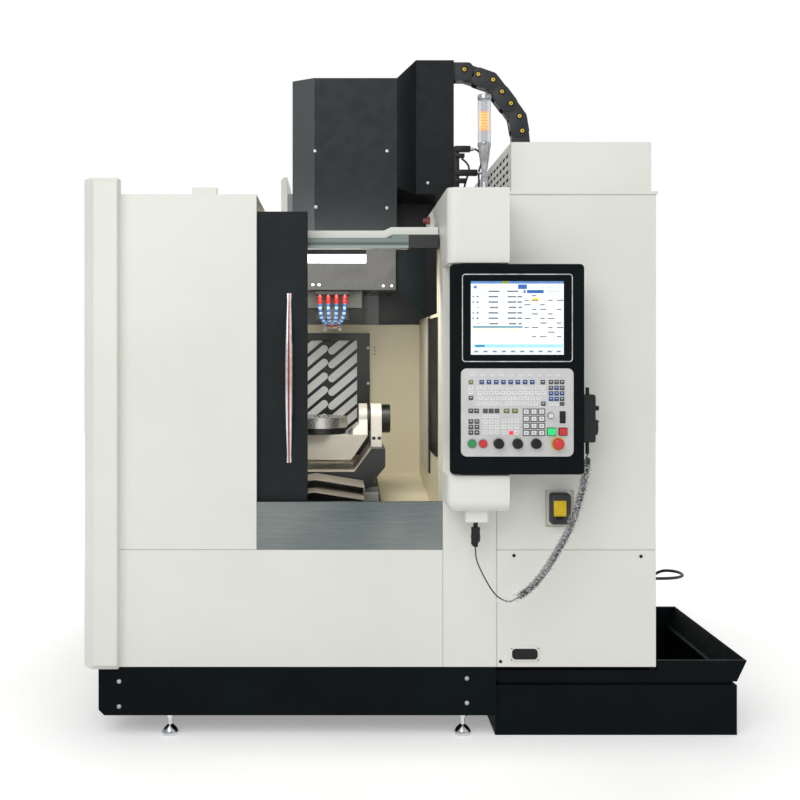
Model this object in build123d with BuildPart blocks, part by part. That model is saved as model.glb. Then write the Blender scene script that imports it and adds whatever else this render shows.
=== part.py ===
from build123d import *
import math
import os

# A vertical machining centre with a tilting rotary table, in millimetres.
# X runs left to right across the front, Y runs from the front to the back and Z is up.

# General values
overrun = 10.0
sheet = 4.0
running_gap = 0.3

# Widths across the front, left to right
pillar_width = 142.0
left_panel_width = 534.0
opening_width = 727.0
column_width = 209.0
cabinet_width = 622.0
tank_overhang = 367.0

# Depths and heights of the enclosure
body_depth = 2000.0
foot_height = 85.0
plinth_height = 192.0
lower_panel_height = 456.0
sill_height = 187.0
upper_panel_height = 1200.0
panel_depth = 25.0

# Left pillar
pillar_bevel = 52.0
pillar_bevel_setback = 20.0
pillar_reach = 50.0
pillar_rise = 59.0
roof_bracket_inset = 416.0
roof_bracket_width = 98.0
roof_bracket_depth = 30.0
roof_bracket_height = 36.0
roof_bracket_setback = 60.0
pillar_chamfer = 20.0

# Operator column and its swivelling control panel
box_projection = 175.0
box_overhang = 23.0
upper_box_height = 282.0
lower_box_drop = 15.0
lower_box_height = 139.0
column_depth = 150.0
column_edge_radius = 34.0
lower_box_radius = 45.0
roof_beam_length = 610.0
roof_beam_height = 130.0
swivel_post_radius = 18.0
swivel_post_inset = 57.0
swivel_post_setback = 60.0
panel_gap = 3.0
panel_width = 498.0
panel_inset = 7.0
panel_end_gap = 6.0
plate_thickness = 15.0
plate_corner = 16.0
housing_depth = 78.0
housing_margin = 20.0
knuckle_height = 60.0
knuckle_wall = 12.0
knuckle_inset = 110.0
bezel_width = 411.0
bezel_height = 327.0
bezel_top_margin = 37.0
bezel_corner = 12.0
screen_width = 345.0
screen_height = 273.0
screen_thickness = 4.0
keypad_width = 418.0
keypad_height = 327.0
keypad_bottom_margin = 67.0
keypad_thickness = 3.0
keypad_corner = 22.0
key_size = 11.0
key_pitch = 14.5
key_height = 1.5
key_block_shares = ((0.37, 0.78), (0.87, 0.76), (0.15, 0.42), (0.47, 0.42), (0.65, 0.42))
key_block_counts = ((14, 6), (3, 5), (5, 3), (4, 4), (3, 4))

# Operator controls on the keypad plate
control_row_height = 48.0
button_radius = 14.5
button_height = 8.0
knob_radius = 17.5
knob_height = 20.0
pointer_width = 4.0
stop_radius = 20.5
stop_stem_radius = 11.0
stop_height = 32.0
stop_cap_height = 16.0
stop_travel = 6.0
flat_button_width = 29.0
flat_button_height = 25.0
key_switch_radius = 9.0
key_switch_height = 6.0
key_bow_width = 16.0
key_bow_thickness = 2.5
key_bow_length = 18.0
control_gap = 0.5
round_button_shares = (0.098, 0.196)
knob_shares = (0.335, 0.502, 0.667)
stop_share = 0.859
flat_button_shares = ((0.803, 0.283), (0.905, 0.283))
key_switch_shares = (0.797, 0.465)

# Hand pendant on the panel's right edge
pendant_width = 46.0
pendant_depth = 80.0
pendant_height = 179.0
pendant_drop = 486.0
pendant_corner = 12.0
pendant_setback = 8.0
hook_height = 26.0
hook_depth = 34.0
hook_wall = 6.0
dial_radius = 30.0
dial_thickness = 11.0
dial_rise = 55.0
crank_radius = 4.0
crank_length = 9.0
crank_offset_share = 0.72
selector_radius = 9.0
selector_length = 14.0
selector_rise = 128.0
selector_spacing = 36.0
gland_radius = 7.0
gland_length = 45.0

# Door, its rail and the sill
door_width = 760.0
door_lap = 198.0
door_setback = 30.0
door_thickness = 40.0
door_bottom_lap = 15.0
door_top_drop = 63.0
door_edge_radius = 6.0
window_width = 430.0
window_height = 760.0
window_lap = 12.0
window_side_margin = 70.0
window_bottom_margin = 220.0
pane_thickness = 6.0
hanger_width = 60.0
hanger_height = 26.0
hanger_inset = 110.0
handle_width = 28.0
handle_thickness = 9.0
handle_length = 666.0
handle_bow = 42.0
handle_rise = 165.0
handle_inset = 58.0
handle_foot = 60.0
sill_return = 24.0
beam_height = 33.0
beam_depth = 40.0
beam_setback = 140.0
beam_drop = 125.0
beam_step = 14.0
beam_step_length = 220.0
beam_joggle = 30.0
rail_height = 41.0
rail_depth = 60.0
rail_setback = 105.0
lamp_length = 323.0
lamp_height = 32.0
lamp_depth = 32.0
lamp_drop = 60.0
lamp_end_gap = 290.0

# Plinth, feet, bed and column
plinth_inset = 58.0
plinth_setback = 8.0
plinth_chamfer = 22.0
foot_radius = 32.5
foot_disc_height = 12.0
foot_cone_height = 10.0
stud_radius = 10.0
stud_embed = 40.0
lock_nut_width = 32.0
lock_nut_sides = 6
lock_nut_height = 14.0
foot_setback = 45.0
foot_left_inset = 275.0
foot_right_inset = 127.0
foot_rows = 3
bed_half_width = 240.0
bed_front_setback = 130.0
bed_height = 503.0
way_rail_width = 30.0
way_rail_height = 20.0
way_rail_spread = 180.0
casting_half_width = 230.0
casting_setback = 1160.0
casting_rear_clearance = 100.0
casting_top_depth = 420.0
column_cover_width = 31.0
column_cover_rise = 83.0
column_cover_chamfer = 14.0
column_cover_depth = 440.0
column_shroud_width = 292.0
column_shroud_depth = 150.0
casting_pocket_margin = 70.0
casting_pocket_depth = 40.0
z_rail_width = 40.0
z_rail_depth = 12.0

# Walls and floor of the work area
pan_front_setback = 76.0
pan_front_height = 785.0
pan_front_lip = 110.0
pan_bed_clearance = 125.0
rear_wall_setback = 1080.0
rear_wall_height = 735.0
rear_wall_holes = 3
rear_wall_hole_radius = 4.0
rear_wall_hole_pitch = 17.0
rear_wall_hole_inset = 223.0
rear_wall_hole_drop = 112.0
pan_side_gap = 15.0
side_wall_drop = 130.0
side_wall_post_depth = 46.0
side_wall_step = 327.0
side_glass_depth = 520.0
side_glass_height = 678.0
side_glass_rise = 974.0
side_glass_gap = 74.0
side_glass_thickness = 6.0
ribbed_depth = 320.0
ribbed_height = 566.0
ribbed_rise = 1080.0
ribbed_thickness = 10.0
ribbed_setback = 152.0
rib_count = 10
guard_width = 410.0
guard_height = 598.0
guard_depth = 40.0
guard_rise = 95.0
guard_border = 62.0
guard_top_border = 36.0
guard_recess = 26.0
guard_inset = 65.0
slat_length = 240.0
slat_width = 36.0
slat_thickness = 14.0
slat_pitch = 68.0
slat_stagger = 26.0
slat_end_gap = 10.0
slat_tilt_degrees = 40.0
slat_rows = 10

# Electrical cabinet, its top box and the tank beside it
cabinet_depth = 1400.0
seam_width = 4.0
seam_depth = 4.0
cabinet_lip_height = 11.0
cabinet_lip_overhang = 6.0
top_box_inset = 68.0
top_box_setback = 60.0
top_box_depth = 1180.0
top_box_height = 205.0
vent_length = 62.0
vent_width = 14.0
vent_depth = 6.0
vent_rows = 5
vent_columns = 8
vent_row_pitch = 32.0
vent_column_pitch = 84.0
vent_rise = 38.0
vent_setback = 70.0
breaker_width = 80.0
breaker_height = 121.0
breaker_depth = 45.0
breaker_corner = 14.0
breaker_left_inset = 203.0
breaker_rise = 838.0
breaker_plate_margin = 8.0
breaker_plate_depth = 4.0
entry_width = 105.0
entry_height = 43.0
entry_frame = 8.0
entry_depth = 6.0
entry_left_inset = 57.0
entry_rise = 42.0
tank_depth = 860.0
tank_setback = 30.0
tank_box_height = 196.0
tank_rim_height = 292.0
tank_flare = 39.0
tank_neck_height = 14.0
tank_neck_inset = 12.0
tank_lid_gap = 22.0
tank_cabinet_gap = 14.0
tank_divider_setback = 330.0
tank_divider_height = 180.0
tank_trough_width = 110.0
tower_inset = 148.0
tower_setback = 95.0
tower_radius = 26.0
tower_height = 367.0
tower_base_radius = 25.0
tower_base_height = 16.0
tower_neck_radius = 8.0
tower_neck_height = 56.0
tower_taper_height = 160.0
tower_cap_height = 24.0

# Head that rides up and down on the column
spindle_inset = 294.0
head_setback = 450.0
head_top_setback = 600.0
head_width = 458.0
head_left_inset = 112.0
head_wall_clearance = 134.0
head_lower_height = 174.0
head_cover_height = 786.0
head_cover_depth = 500.0
head_cover_width = 471.0
head_fold_width = 97.0
head_fold_depth = 60.0
head_casting_half_width = 130.0
head_casting_drop = 74.0
head_casting_rise = 352.0
head_arm_rise = 86.0
head_arm_setback = 900.0
head_slope = 20.0
nose_housing_radius = 80.0
nose_housing_height = 50.0
spindle_setback = 620.0
spindle_radius = 44.0
spindle_length = 40.0
spindle_shaft_radius = 35.0
spindle_shaft_length = 60.0
taper_mouth_radius = 22.2
taper_inner_radius = 16.0
taper_depth = 65.0
drive_key_width = 16.0
drive_key_height = 8.0
side_cover_width = 177.0
side_cover_gap = 101.0
side_cover_setback = 800.0
side_cover_rise = 124.0
side_cover_height = 627.0
side_cover_step = 137.0
side_guard_width = 130.0
side_guard_drop = 118.0
side_guard_setback = 20.0
side_guard_return = 60.0
manifold_height = 22.0
manifold_depth = 30.0
manifold_width = 150.0
nozzle_count = 4
nozzle_pitch = 36.0
nozzle_tip_pitch = 17.0
valve_radius = 9.0
valve_length = 35.0
hose_radius = 8.0
hose_length = 90.0
tip_radius = 3.5
tip_length = 42.0
nozzle_lean = 40.0

# Cable chain from the head to the cabinet roof
chain_link_degrees = (0, 19, 19, 53, 53, 55, 80, 84, 88, 90)
chain_height = 86.0
chain_width = 64.0
chain_wall = 8.0
chain_taper = 15.0
chain_gap = 0.4
chain_drop = 47.0
chain_setback = 850.0

# Saddle, table and tilting rotary table
trunnion_setback = 620.0
table_inset = 224.0
saddle_half_width = 270.0
saddle_half_depth = 200.0
saddle_height = 95.0
x_rail_spread = 120.0
table_half_width = 300.0
table_half_depth = 170.0
table_foot_half_width = 225.0
table_floor_height = 70.0
table_riser_height = 100.0
table_riser_width = 60.0
table_slant_height = 91.0
table_floor_half_width = 165.0
cover_half_width = 199.0
cover_ridge_height = 169.0
cover_eave_height = 137.0
cover_lift = 34.0
wiper_plate_depth = 10.0
cover_length = 215.0
cover_inner_length = 210.0
cover_step = 4.0
cover_setback = 85.0
cover_sheet = 3.0
axis_rise = 220.0
support_width = 49.0
support_half_depth = 85.0
support_top_radius = 68.0
support_gap = 16.0
support_hole = 14.0
support_hole_rise = 30.0
support_hole_depth = 20.0
cap_radius = 63.5
cap_length = 38.0
drive_width = 165.0
drive_depth = 190.0
drive_height = 230.0
motor_radius = 55.0
motor_length = 120.0
journal_radius = 35.0
journal_length = 44.0
arm_outer = 225.0
arm_inner = 188.0
arm_top_radius = 68.0
cradle_half_depth = 110.0
cradle_drop = 175.0
cradle_floor_drop = 65.0
cradle_outer_slant_drop = 69.0
cradle_inner_slant_drop = 18.0
cradle_bottom_half_width = 153.0
cradle_floor_half_width = 140.0
ring_radius = 130.0
ring_height = 28.0
platter_radius = 137.0
platter_height = 46.0
platter_bore_radius = 25.0
platter_slots = 8
platter_slot_width = 12.0
platter_slot_depth = 14.0
platter_slot_length = 78.0
platter_hole_radius = 5.0
platter_hole_circle = 88.0

# Socket, connector and hanging cord of the hand pendant
socket_width = 87.0
socket_depth = 70.0
socket_height = 44.0
socket_inset = 72.0
socket_setback = 50.0
socket_corner = 8.0
connector_radius = 17.0
connector_height = 58.0
connector_neck_radius = 9.0
connector_neck_height = 24.0
connector_tail_height = 16.0
coil_radius = 13.5
tail_radius = 3.0
pump_hose_radius = 6.5
cord_arc_share = 0.45

# Places worked out from the sizes above
overall_width = (
    pillar_width + left_panel_width + opening_width + column_width + cabinet_width + tank_overhang
)
panel_reach = box_projection + panel_gap + plate_thickness + keypad_thickness + stop_height
overall_depth = panel_reach + body_depth
x_left = -overall_width / 2
x_pillar = x_left + pillar_width
x_opening = x_pillar + left_panel_width
x_column = x_opening + opening_width
x_cabinet = x_column + column_width
x_right = x_cabinet + cabinet_width
x_tank = x_right + tank_overhang
y_front = panel_reach - overall_depth / 2
y_rear = y_front + body_depth
z_base = foot_height + plinth_height
z_seam = z_base + lower_panel_height
z_sill = z_seam + sill_height
z_top = z_sill + upper_panel_height
z_bed = z_base + bed_height
pan_rear_height = z_bed + pan_bed_clearance
casting_base_depth = body_depth - casting_setback - casting_rear_clearance
z_ways = z_bed + way_rail_height
z_rear_wall = pan_rear_height + rear_wall_height
z_head_bottom = z_rear_wall + head_wall_clearance
z_head_split = z_head_bottom + head_lower_height
z_head_casting = z_head_split + head_casting_rise
x_spindle = x_opening + spindle_inset
y_spindle = y_front + spindle_setback
x_table = x_opening + table_inset
y_trunnion = y_front + trunnion_setback
y_rear_wall = y_front + rear_wall_setback


def plane_on(axis, low, high):
    planes = {
        "x": Plane.YZ.offset(low),
        "y": Plane.XZ.offset(-high),
        "z": Plane.XY.offset(low),
    }
    return planes[axis]


# A box between three pairs of limits
def block(x_span, y_span, z_span, mode=Mode.ADD):
    spans = (x_span, y_span, z_span)
    middle = tuple((low + high) / 2 for low, high in spans)
    with Locations(middle):
        Box(*(high - low for low, high in spans), mode=mode)


# A straight-sided outline drawn across an axis and drawn out along it
def prism(axis, points, span, mode=Mode.ADD):
    low, high = span
    with BuildSketch(plane_on(axis, low, high), mode=Mode.PRIVATE) as outline:
        with BuildLine():
            Polyline(*points, close=True)
        make_face()
    extrude(outline.sketch, amount=high - low, mode=mode)


# A round bar along an axis
def rod(axis, centre, radius, span, mode=Mode.ADD):
    low, high = span
    with BuildSketch(plane_on(axis, low, high), mode=Mode.PRIVATE) as disc:
        with Locations(centre):
            Circle(radius)
    extrude(disc.sketch, amount=high - low, mode=mode)


# A flat plate with rounded corners, drawn out along an axis
def rounded_plate(axis, centre, width, height, corner, span, mode=Mode.ADD):
    low, high = span
    with BuildSketch(plane_on(axis, low, high), mode=Mode.PRIVATE) as outline:
        with Locations(centre):
            RectangleRounded(width, height, corner)
    extrude(outline.sketch, amount=high - low, mode=mode)


# A folded sheet pan that is open at the back
def folded_pan(x_span, y_span, z_span):
    block(x_span, y_span, z_span)
    block(
        (x_span[0] + sheet, x_span[1] - sheet),
        (y_span[0] + sheet, y_span[1] + overrun),
        (z_span[0] + sheet, z_span[1] - sheet),
        Mode.SUBTRACT,
    )


# A tube along straight runs joined by tangent arcs, each as wide as its runs allow
def cord_tube(points, radius):
    corners = [Vector(*point) for point in points]
    runs = [end - start for start, end in zip(corners, corners[1:])]
    radii = []
    for before, after in zip(runs, runs[1:]):
        turn = math.radians(before.get_angle(after))
        radii.append(cord_arc_share * min(before.length, after.length) / math.tan(turn / 2))
    print("cord radii", [round(value) for value in radii])
    with BuildLine(mode=Mode.PRIVATE) as path:
        FilletPolyline(*corners, radius=radii)
    with BuildSketch(Plane(corners[0], z_dir=runs[0]), mode=Mode.PRIVATE) as section:
        Circle(radius)
    sweep(section.sketch, path=path.wire())
    return math.pi * radius**2 * path.wire().length


# Plinth skirt with a cut corner at the front left
with BuildPart() as plinth:
    plinth_left = x_left + plinth_inset
    plinth_points = [
        (plinth_left + plinth_chamfer, foot_height),
        (x_cabinet, foot_height),
        (x_cabinet, z_base),
        (plinth_left, z_base),
        (plinth_left, foot_height + plinth_chamfer),
    ]
    prism("y", plinth_points, (y_front + plinth_setback, y_rear - plinth_setback))
    foot_x = (plinth_left + foot_left_inset, x_cabinet - foot_right_inset)
    foot_span = body_depth - 2 * foot_setback
    foot_y = [y_front + foot_setback + foot_span * row / (foot_rows - 1) for row in range(foot_rows)]
    foot_spots = [(x, y) for x in foot_x for y in foot_y]
    for spot in foot_spots:
        stud_top = foot_height + stud_embed
        rod("z", spot, stud_radius + running_gap, (foot_height - overrun, stud_top), Mode.SUBTRACT)

# Levelling feet: disc, cone, stud and lock nut
with BuildPart() as levelling_feet:
    for spot in foot_spots:
        cone_top = foot_disc_height + foot_cone_height
        rod("z", spot, foot_radius, (0, foot_disc_height))
        with Locations((*spot, foot_disc_height + foot_cone_height / 2)):
            Cone(foot_radius, stud_radius, foot_cone_height)
        rod("z", spot, stud_radius, (cone_top, foot_height + stud_embed))
        with BuildSketch(Plane.XY.offset(foot_height - lock_nut_height)):
            with Locations(spot):
                RegularPolygon(lock_nut_width / 2, side_count=lock_nut_sides, major_radius=False)
        extrude(amount=lock_nut_height)

# Cast bed with two guide rails along Y
with BuildPart() as machine_bed:
    bed_y = (y_front + bed_front_setback, y_front + casting_setback)
    block((x_table - bed_half_width, x_table + bed_half_width), bed_y, (z_base, z_bed))
    for side in (-1, 1):
        rail_x = x_table + side * way_rail_spread
        block(
            (rail_x - way_rail_width / 2, rail_x + way_rail_width / 2),
            (bed_y[0] + way_rail_width, bed_y[1] - way_rail_width),
            (z_bed, z_ways),
        )

# Cast column that narrows towards its top, with two upright guide rails, an edge cover and a side shroud
with BuildPart() as machine_column:
    casting_y = y_front + casting_setback
    casting_x = (x_spindle - casting_half_width, x_spindle + casting_half_width)
    casting_points = [
        (casting_y, z_base),
        (casting_y + casting_base_depth, z_base),
        (casting_y + casting_base_depth, z_seam),
        (casting_y + casting_top_depth, z_head_casting),
        (casting_y, z_head_casting),
    ]
    prism("x", casting_points, casting_x)
    block(
        (casting_x[0] + casting_pocket_margin, casting_x[1] - casting_pocket_margin),
        (casting_y - overrun, casting_y + casting_pocket_depth),
        (z_seam, z_head_casting - casting_pocket_margin),
        Mode.SUBTRACT,
    )
    for side in (-1, 1):
        rail_x = x_spindle + side * (casting_half_width - casting_pocket_margin / 2)
        block(
            (rail_x - z_rail_width / 2, rail_x + z_rail_width / 2),
            (casting_y - z_rail_depth, casting_y),
            (z_sill, z_head_casting - casting_pocket_margin),
        )
    x_column_cover = casting_x[0] - column_cover_width
    z_column_cover = z_head_casting + column_cover_rise
    column_cover_points = [
        (casting_x[0], z_sill),
        (casting_x[0], z_column_cover),
        (x_column_cover + column_cover_chamfer, z_column_cover),
        (x_column_cover, z_column_cover - column_cover_chamfer),
        (x_column_cover, z_sill),
    ]
    prism("y", column_cover_points, (casting_y, casting_y + column_cover_depth))
    block(
        (casting_x[1], casting_x[1] + column_shroud_width),
        (casting_y, casting_y + column_shroud_depth),
        (z_sill, z_column_cover),
    )

# Left pillar: a folded cover ahead of the panels with a bevelled left side
with BuildPart() as left_pillar:
    pillar_points = [
        (x_left, y_front + panel_depth),
        (x_left, y_front + pillar_bevel_setback),
        (x_left + pillar_bevel, y_front - pillar_reach),
        (x_pillar, y_front - pillar_reach),
        (x_pillar, y_front + panel_depth),
    ]
    prism("z", pillar_points, (z_base, z_top + pillar_rise))
    pillar_ends = left_pillar.faces().filter_by(Plane.XZ).sort_by(Axis.Y)[0].edges().filter_by(Axis.X)
    chamfer(pillar_ends, pillar_chamfer)

# Upper left front panel, which the door slides behind
with BuildPart() as left_front_panel:
    folded_pan((x_pillar, x_opening), (y_front, y_front + panel_depth), (z_seam, z_top))

# Left side sheet folded over into the left roof
with BuildPart() as left_side_panel:
    side_points = [
        (x_left, z_base),
        (x_left + sheet, z_base),
        (x_left + sheet, z_top - sheet),
        (x_opening, z_top - sheet),
        (x_opening, z_top),
        (x_left, z_top),
    ]
    prism("y", side_points, (y_front + panel_depth, y_rear))
    x_bracket = x_left + roof_bracket_inset
    y_bracket = y_front + roof_bracket_setback
    block(
        (x_bracket, x_bracket + roof_bracket_width),
        (y_bracket, y_bracket + roof_bracket_depth),
        (z_top, z_top + roof_bracket_height),
    )

# Rear sheet with a return forward to the cabinet
with BuildPart() as rear_panel:
    rear_points = [
        (x_left + sheet, y_rear),
        (x_left + sheet, y_rear - sheet),
        (x_cabinet - sheet, y_rear - sheet),
        (x_cabinet - sheet, y_front + cabinet_depth),
        (x_cabinet, y_front + cabinet_depth),
        (x_cabinet, y_rear),
    ]
    prism("z", rear_points, (z_base, z_top - sheet))

# Lower front panel under the door
with BuildPart() as lower_front_panel:
    folded_pan((x_pillar, x_column), (y_front, y_front + panel_depth), (z_base, z_seam))

# Bright sill plate with a top return
with BuildPart() as sill_plate:
    sill_points = [
        (y_front, z_seam),
        (y_front + sheet, z_seam),
        (y_front + sheet, z_sill - sheet),
        (y_front + sill_return, z_sill - sheet),
        (y_front + sill_return, z_sill),
        (y_front, z_sill),
    ]
    prism("x", sill_points, (x_opening, x_column))

# Operator column: a C-shaped cabinet with a recess for the panel, a pivot post and a roof beam
z_upper_box = z_top - upper_box_height
z_lower_box_top = z_sill - lower_box_drop + lower_box_height
z_lower_box = z_sill - lower_box_drop
y_box = y_front - box_projection
x_box = x_cabinet + box_overhang
x_post = x_column + swivel_post_inset
y_post = y_front - swivel_post_setback
x_socket = x_column + socket_inset
y_socket = y_box + socket_setback
z_socket = z_lower_box - socket_height
connector_spot = (x_socket + socket_width / 2, y_socket + socket_depth / 2)
with BuildPart() as operator_column:
    block((x_column, x_cabinet), (y_front, y_front + column_depth), (z_base, z_top))
    block((x_column, x_box), (y_box, y_front), (z_upper_box, z_top))
    block((x_column, x_box), (y_box, y_front), (z_lower_box, z_lower_box_top))
    box_floors = operator_column.edges().filter_by(Axis.X).group_by(Axis.Y)[0]
    fillet(box_floors.sort_by(Axis.Z)[0], lower_box_radius)
    box_sides = operator_column.edges().filter_by(Axis.Z).group_by(Axis.Y)[0]
    fillet(box_sides.group_by(Axis.X)[0], column_edge_radius)
    block(
        (x_column, x_cabinet),
        (y_front + column_depth, y_front + column_depth + roof_beam_length),
        (z_top - roof_beam_height, z_top),
    )
    rod("z", (x_post, y_post), swivel_post_radius, (z_lower_box_top, z_upper_box))
    rounded_plate("z", connector_spot, socket_width, socket_depth, socket_corner, (z_socket, z_lower_box))

# Top beam over the doorway, bent up near its right end, with the door rail under it
z_beam = z_top - beam_drop
z_beam_floor = z_beam - beam_height
x_wall = x_column - sheet
with BuildPart() as top_beam:
    beam_y = (y_front + beam_setback, y_front + beam_setback + beam_depth)
    bend_x = (x_wall - beam_step_length, x_wall - beam_step_length + beam_joggle)
    beam_points = [
        (x_left + sheet, z_beam_floor),
        (bend_x[0], z_beam_floor),
        (bend_x[1], z_beam_floor + beam_step),
        (x_wall, z_beam_floor + beam_step),
        (x_wall, z_beam + beam_step),
        (bend_x[1], z_beam + beam_step),
        (bend_x[0], z_beam),
        (x_left + sheet, z_beam),
    ]
    prism("y", beam_points, beam_y)
    rail_y = (y_front + rail_setback, y_front + rail_setback + rail_depth)
    block((x_left + sheet, x_wall), rail_y, (z_beam_floor - rail_height, z_beam_floor))
    block((bend_x[1], x_wall), rail_y, (z_beam_floor, z_beam_floor + beam_step))

# Strip lamp hung behind the beam
with BuildPart() as work_lamp:
    lamp_x = (x_wall - lamp_end_gap - lamp_length, x_wall - lamp_end_gap)
    z_lamp = z_beam_floor - lamp_drop
    block(lamp_x, (beam_y[1], beam_y[1] + lamp_depth), (z_lamp - lamp_height, z_lamp))
    block(lamp_x, (beam_y[1], beam_y[1] + sheet), (z_lamp, z_beam))

# Right wall of the work area, tall at the front where it carries the beam and lower behind
z_side_wall = z_top - side_wall_drop
with BuildPart() as right_inner_wall:
    wall_y = (y_front + column_depth, y_rear_wall + sheet)
    block((x_wall, x_column), wall_y, (z_base, z_side_wall))
    block(
        (x_wall - overrun, x_column + overrun),
        (wall_y[0] + side_wall_post_depth, wall_y[1] + overrun),
        (z_side_wall - side_wall_step, z_side_wall + overrun),
        Mode.SUBTRACT,
    )

# Side glass and black ribbed cover, both fixed on the right wall
with BuildPart() as wall_inserts:
    glass_y = (y_rear_wall - side_glass_gap - side_glass_depth, y_rear_wall - side_glass_gap)
    block(
        (x_wall - side_glass_thickness, x_wall),
        glass_y,
        (side_glass_rise, side_glass_rise + side_glass_height),
    )
    ribbed_y = (y_front + ribbed_setback, y_front + ribbed_setback + ribbed_depth)
    ribbed_z = (ribbed_rise, ribbed_rise + ribbed_height)
    rib_pitch = ribbed_depth / rib_count
    block((x_wall - ribbed_thickness / 2, x_wall), ribbed_y, ribbed_z)
    for rib in range(rib_count):
        rib_start = ribbed_y[0] + rib * rib_pitch
        rib_points = [
            (x_wall - ribbed_thickness / 2, rib_start),
            (x_wall - ribbed_thickness, rib_start + rib_pitch / 2),
            (x_wall - ribbed_thickness / 2, rib_start + rib_pitch),
        ]
        prism("z", rib_points, ribbed_z)

# Rear wall of the work area with three small holes
with BuildPart() as rear_inner_wall:
    rear_wall_z = (pan_rear_height, z_rear_wall)
    block((x_left + sheet, x_wall), (y_rear_wall, y_rear_wall + sheet), rear_wall_z)
    for hole in range(rear_wall_holes):
        hole_z = rear_wall_z[1] - rear_wall_hole_drop - hole * rear_wall_hole_pitch
        hole_centre = (x_wall - rear_wall_hole_inset, hole_z)
        hole_y = (y_rear_wall - overrun, y_rear_wall + sheet + overrun)
        rod("y", hole_centre, rear_wall_hole_radius, hole_y, Mode.SUBTRACT)

# Chip pan: a front lip and a floor that falls forward, open round the bed
with BuildPart() as chip_pan:
    y_pan = y_front + pan_front_setback
    pan_points = [
        (y_pan, pan_front_height + pan_front_lip),
        (y_pan, pan_front_height),
        (y_rear_wall, pan_rear_height - sheet),
        (y_rear_wall + sheet, pan_rear_height - sheet),
        (y_rear_wall + sheet, pan_rear_height),
        (y_rear_wall, pan_rear_height),
        (y_pan + sheet, pan_front_height + sheet),
        (y_pan + sheet, pan_front_height + pan_front_lip),
    ]
    prism("x", pan_points, (x_left + sheet, x_wall))
    pan_hole = saddle_half_width + pan_side_gap
    block(
        (x_table - pan_hole, x_table + pan_hole),
        (y_pan + 2 * sheet, y_rear_wall),
        (z_base, pan_rear_height + overrun),
        Mode.SUBTRACT,
    )

# Framed guard on the rear wall with two columns of slanted round-ended slats, cut off at the frame
with BuildPart() as slatted_guard:
    guard_x = (x_opening + guard_inset, x_opening + guard_inset + guard_width)
    guard_y = (y_rear_wall - guard_depth, y_rear_wall)
    guard_z = (pan_rear_height + guard_rise, pan_rear_height + guard_rise + guard_height)
    block(guard_x, guard_y, guard_z)
    recess_x = (guard_x[0] + guard_border, guard_x[1] - guard_border)
    recess_z = (guard_z[0] + guard_border, guard_z[1] - guard_top_border)
    recess_middle = (sum(recess_x) / 2, sum(recess_z) / 2)
    block(recess_x, (guard_y[0] - overrun, guard_y[0] + guard_recess), recess_z, Mode.SUBTRACT)
    slat_reach = (slat_length * math.cos(math.radians(slat_tilt_degrees)) + slat_end_gap) / 2
    slat_y = (guard_y[0] + guard_recess - slat_thickness, guard_y[0] + guard_recess)
    slat_points = [
        (
            recess_middle[0] + side * slat_reach,
            recess_middle[1] + side * slat_stagger + (row - (slat_rows - 1) / 2) * slat_pitch,
        )
        for side in (-1, 1)
        for row in range(slat_rows)
    ]
    with BuildSketch(plane_on("y", *slat_y)):
        with Locations(*(Location((*point, 0), slat_tilt_degrees) for point in slat_points)):
            SlotOverall(slat_length, slat_width)
        with Locations(recess_middle):
            Rectangle(recess_x[1] - recess_x[0], recess_z[1] - recess_z[0], mode=Mode.INTERSECT)
    extrude(amount=slat_thickness)

# Electrical cabinet with a seam, a roof lip, a breaker box and a cable entry
with BuildPart() as electrical_cabinet:
    cabinet_y = (y_front, y_front + cabinet_depth)
    block((x_cabinet, x_right), cabinet_y, (z_base, z_top))
    seam_z = (z_seam - seam_width / 2, z_seam + seam_width / 2)
    block((x_cabinet, x_right + overrun), (y_front - overrun, y_front + seam_depth), seam_z, Mode.SUBTRACT)
    block(
        (x_cabinet + box_overhang, x_right + cabinet_lip_overhang),
        (y_front - cabinet_lip_overhang, cabinet_y[1]),
        (z_top, z_top + cabinet_lip_height),
    )
    entry_x = x_cabinet + entry_left_inset + entry_width / 2
    entry_z = z_base + entry_rise + entry_height / 2
    entry_y = (y_front - entry_depth, y_front)
    entry_hole_y = (y_front - entry_depth - overrun, y_front + entry_depth)
    entry_size = (entry_width, entry_height, entry_height / 2 - running_gap)
    hole_width = entry_width - 2 * entry_frame
    hole_height = entry_height - 2 * entry_frame
    hole_size = (hole_width, hole_height, hole_height / 2 - running_gap)
    rounded_plate("y", (entry_x, entry_z), *entry_size, entry_y)
    rounded_plate("y", (entry_x, entry_z), *hole_size, entry_hole_y, Mode.SUBTRACT)

# Breaker box on its mounting plate
with BuildPart() as breaker_box:
    breaker_x = x_cabinet + breaker_left_inset + breaker_width / 2
    breaker_z = breaker_rise + breaker_height / 2
    plate_y = (y_front - breaker_plate_depth, y_front)
    plate_width = breaker_width + 2 * breaker_plate_margin
    plate_height = breaker_height + 2 * breaker_plate_margin
    breaker_y = (y_front - breaker_depth, plate_y[0])
    rounded_plate("y", (breaker_x, breaker_z), plate_width, plate_height, breaker_corner, plate_y)
    rounded_plate("y", (breaker_x, breaker_z), breaker_width, breaker_height, breaker_corner, breaker_y)
    breaker_face = breaker_box.faces().sort_by(Axis.Y)[0]
    fillet(breaker_face.edges(), breaker_corner / 2)

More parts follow.
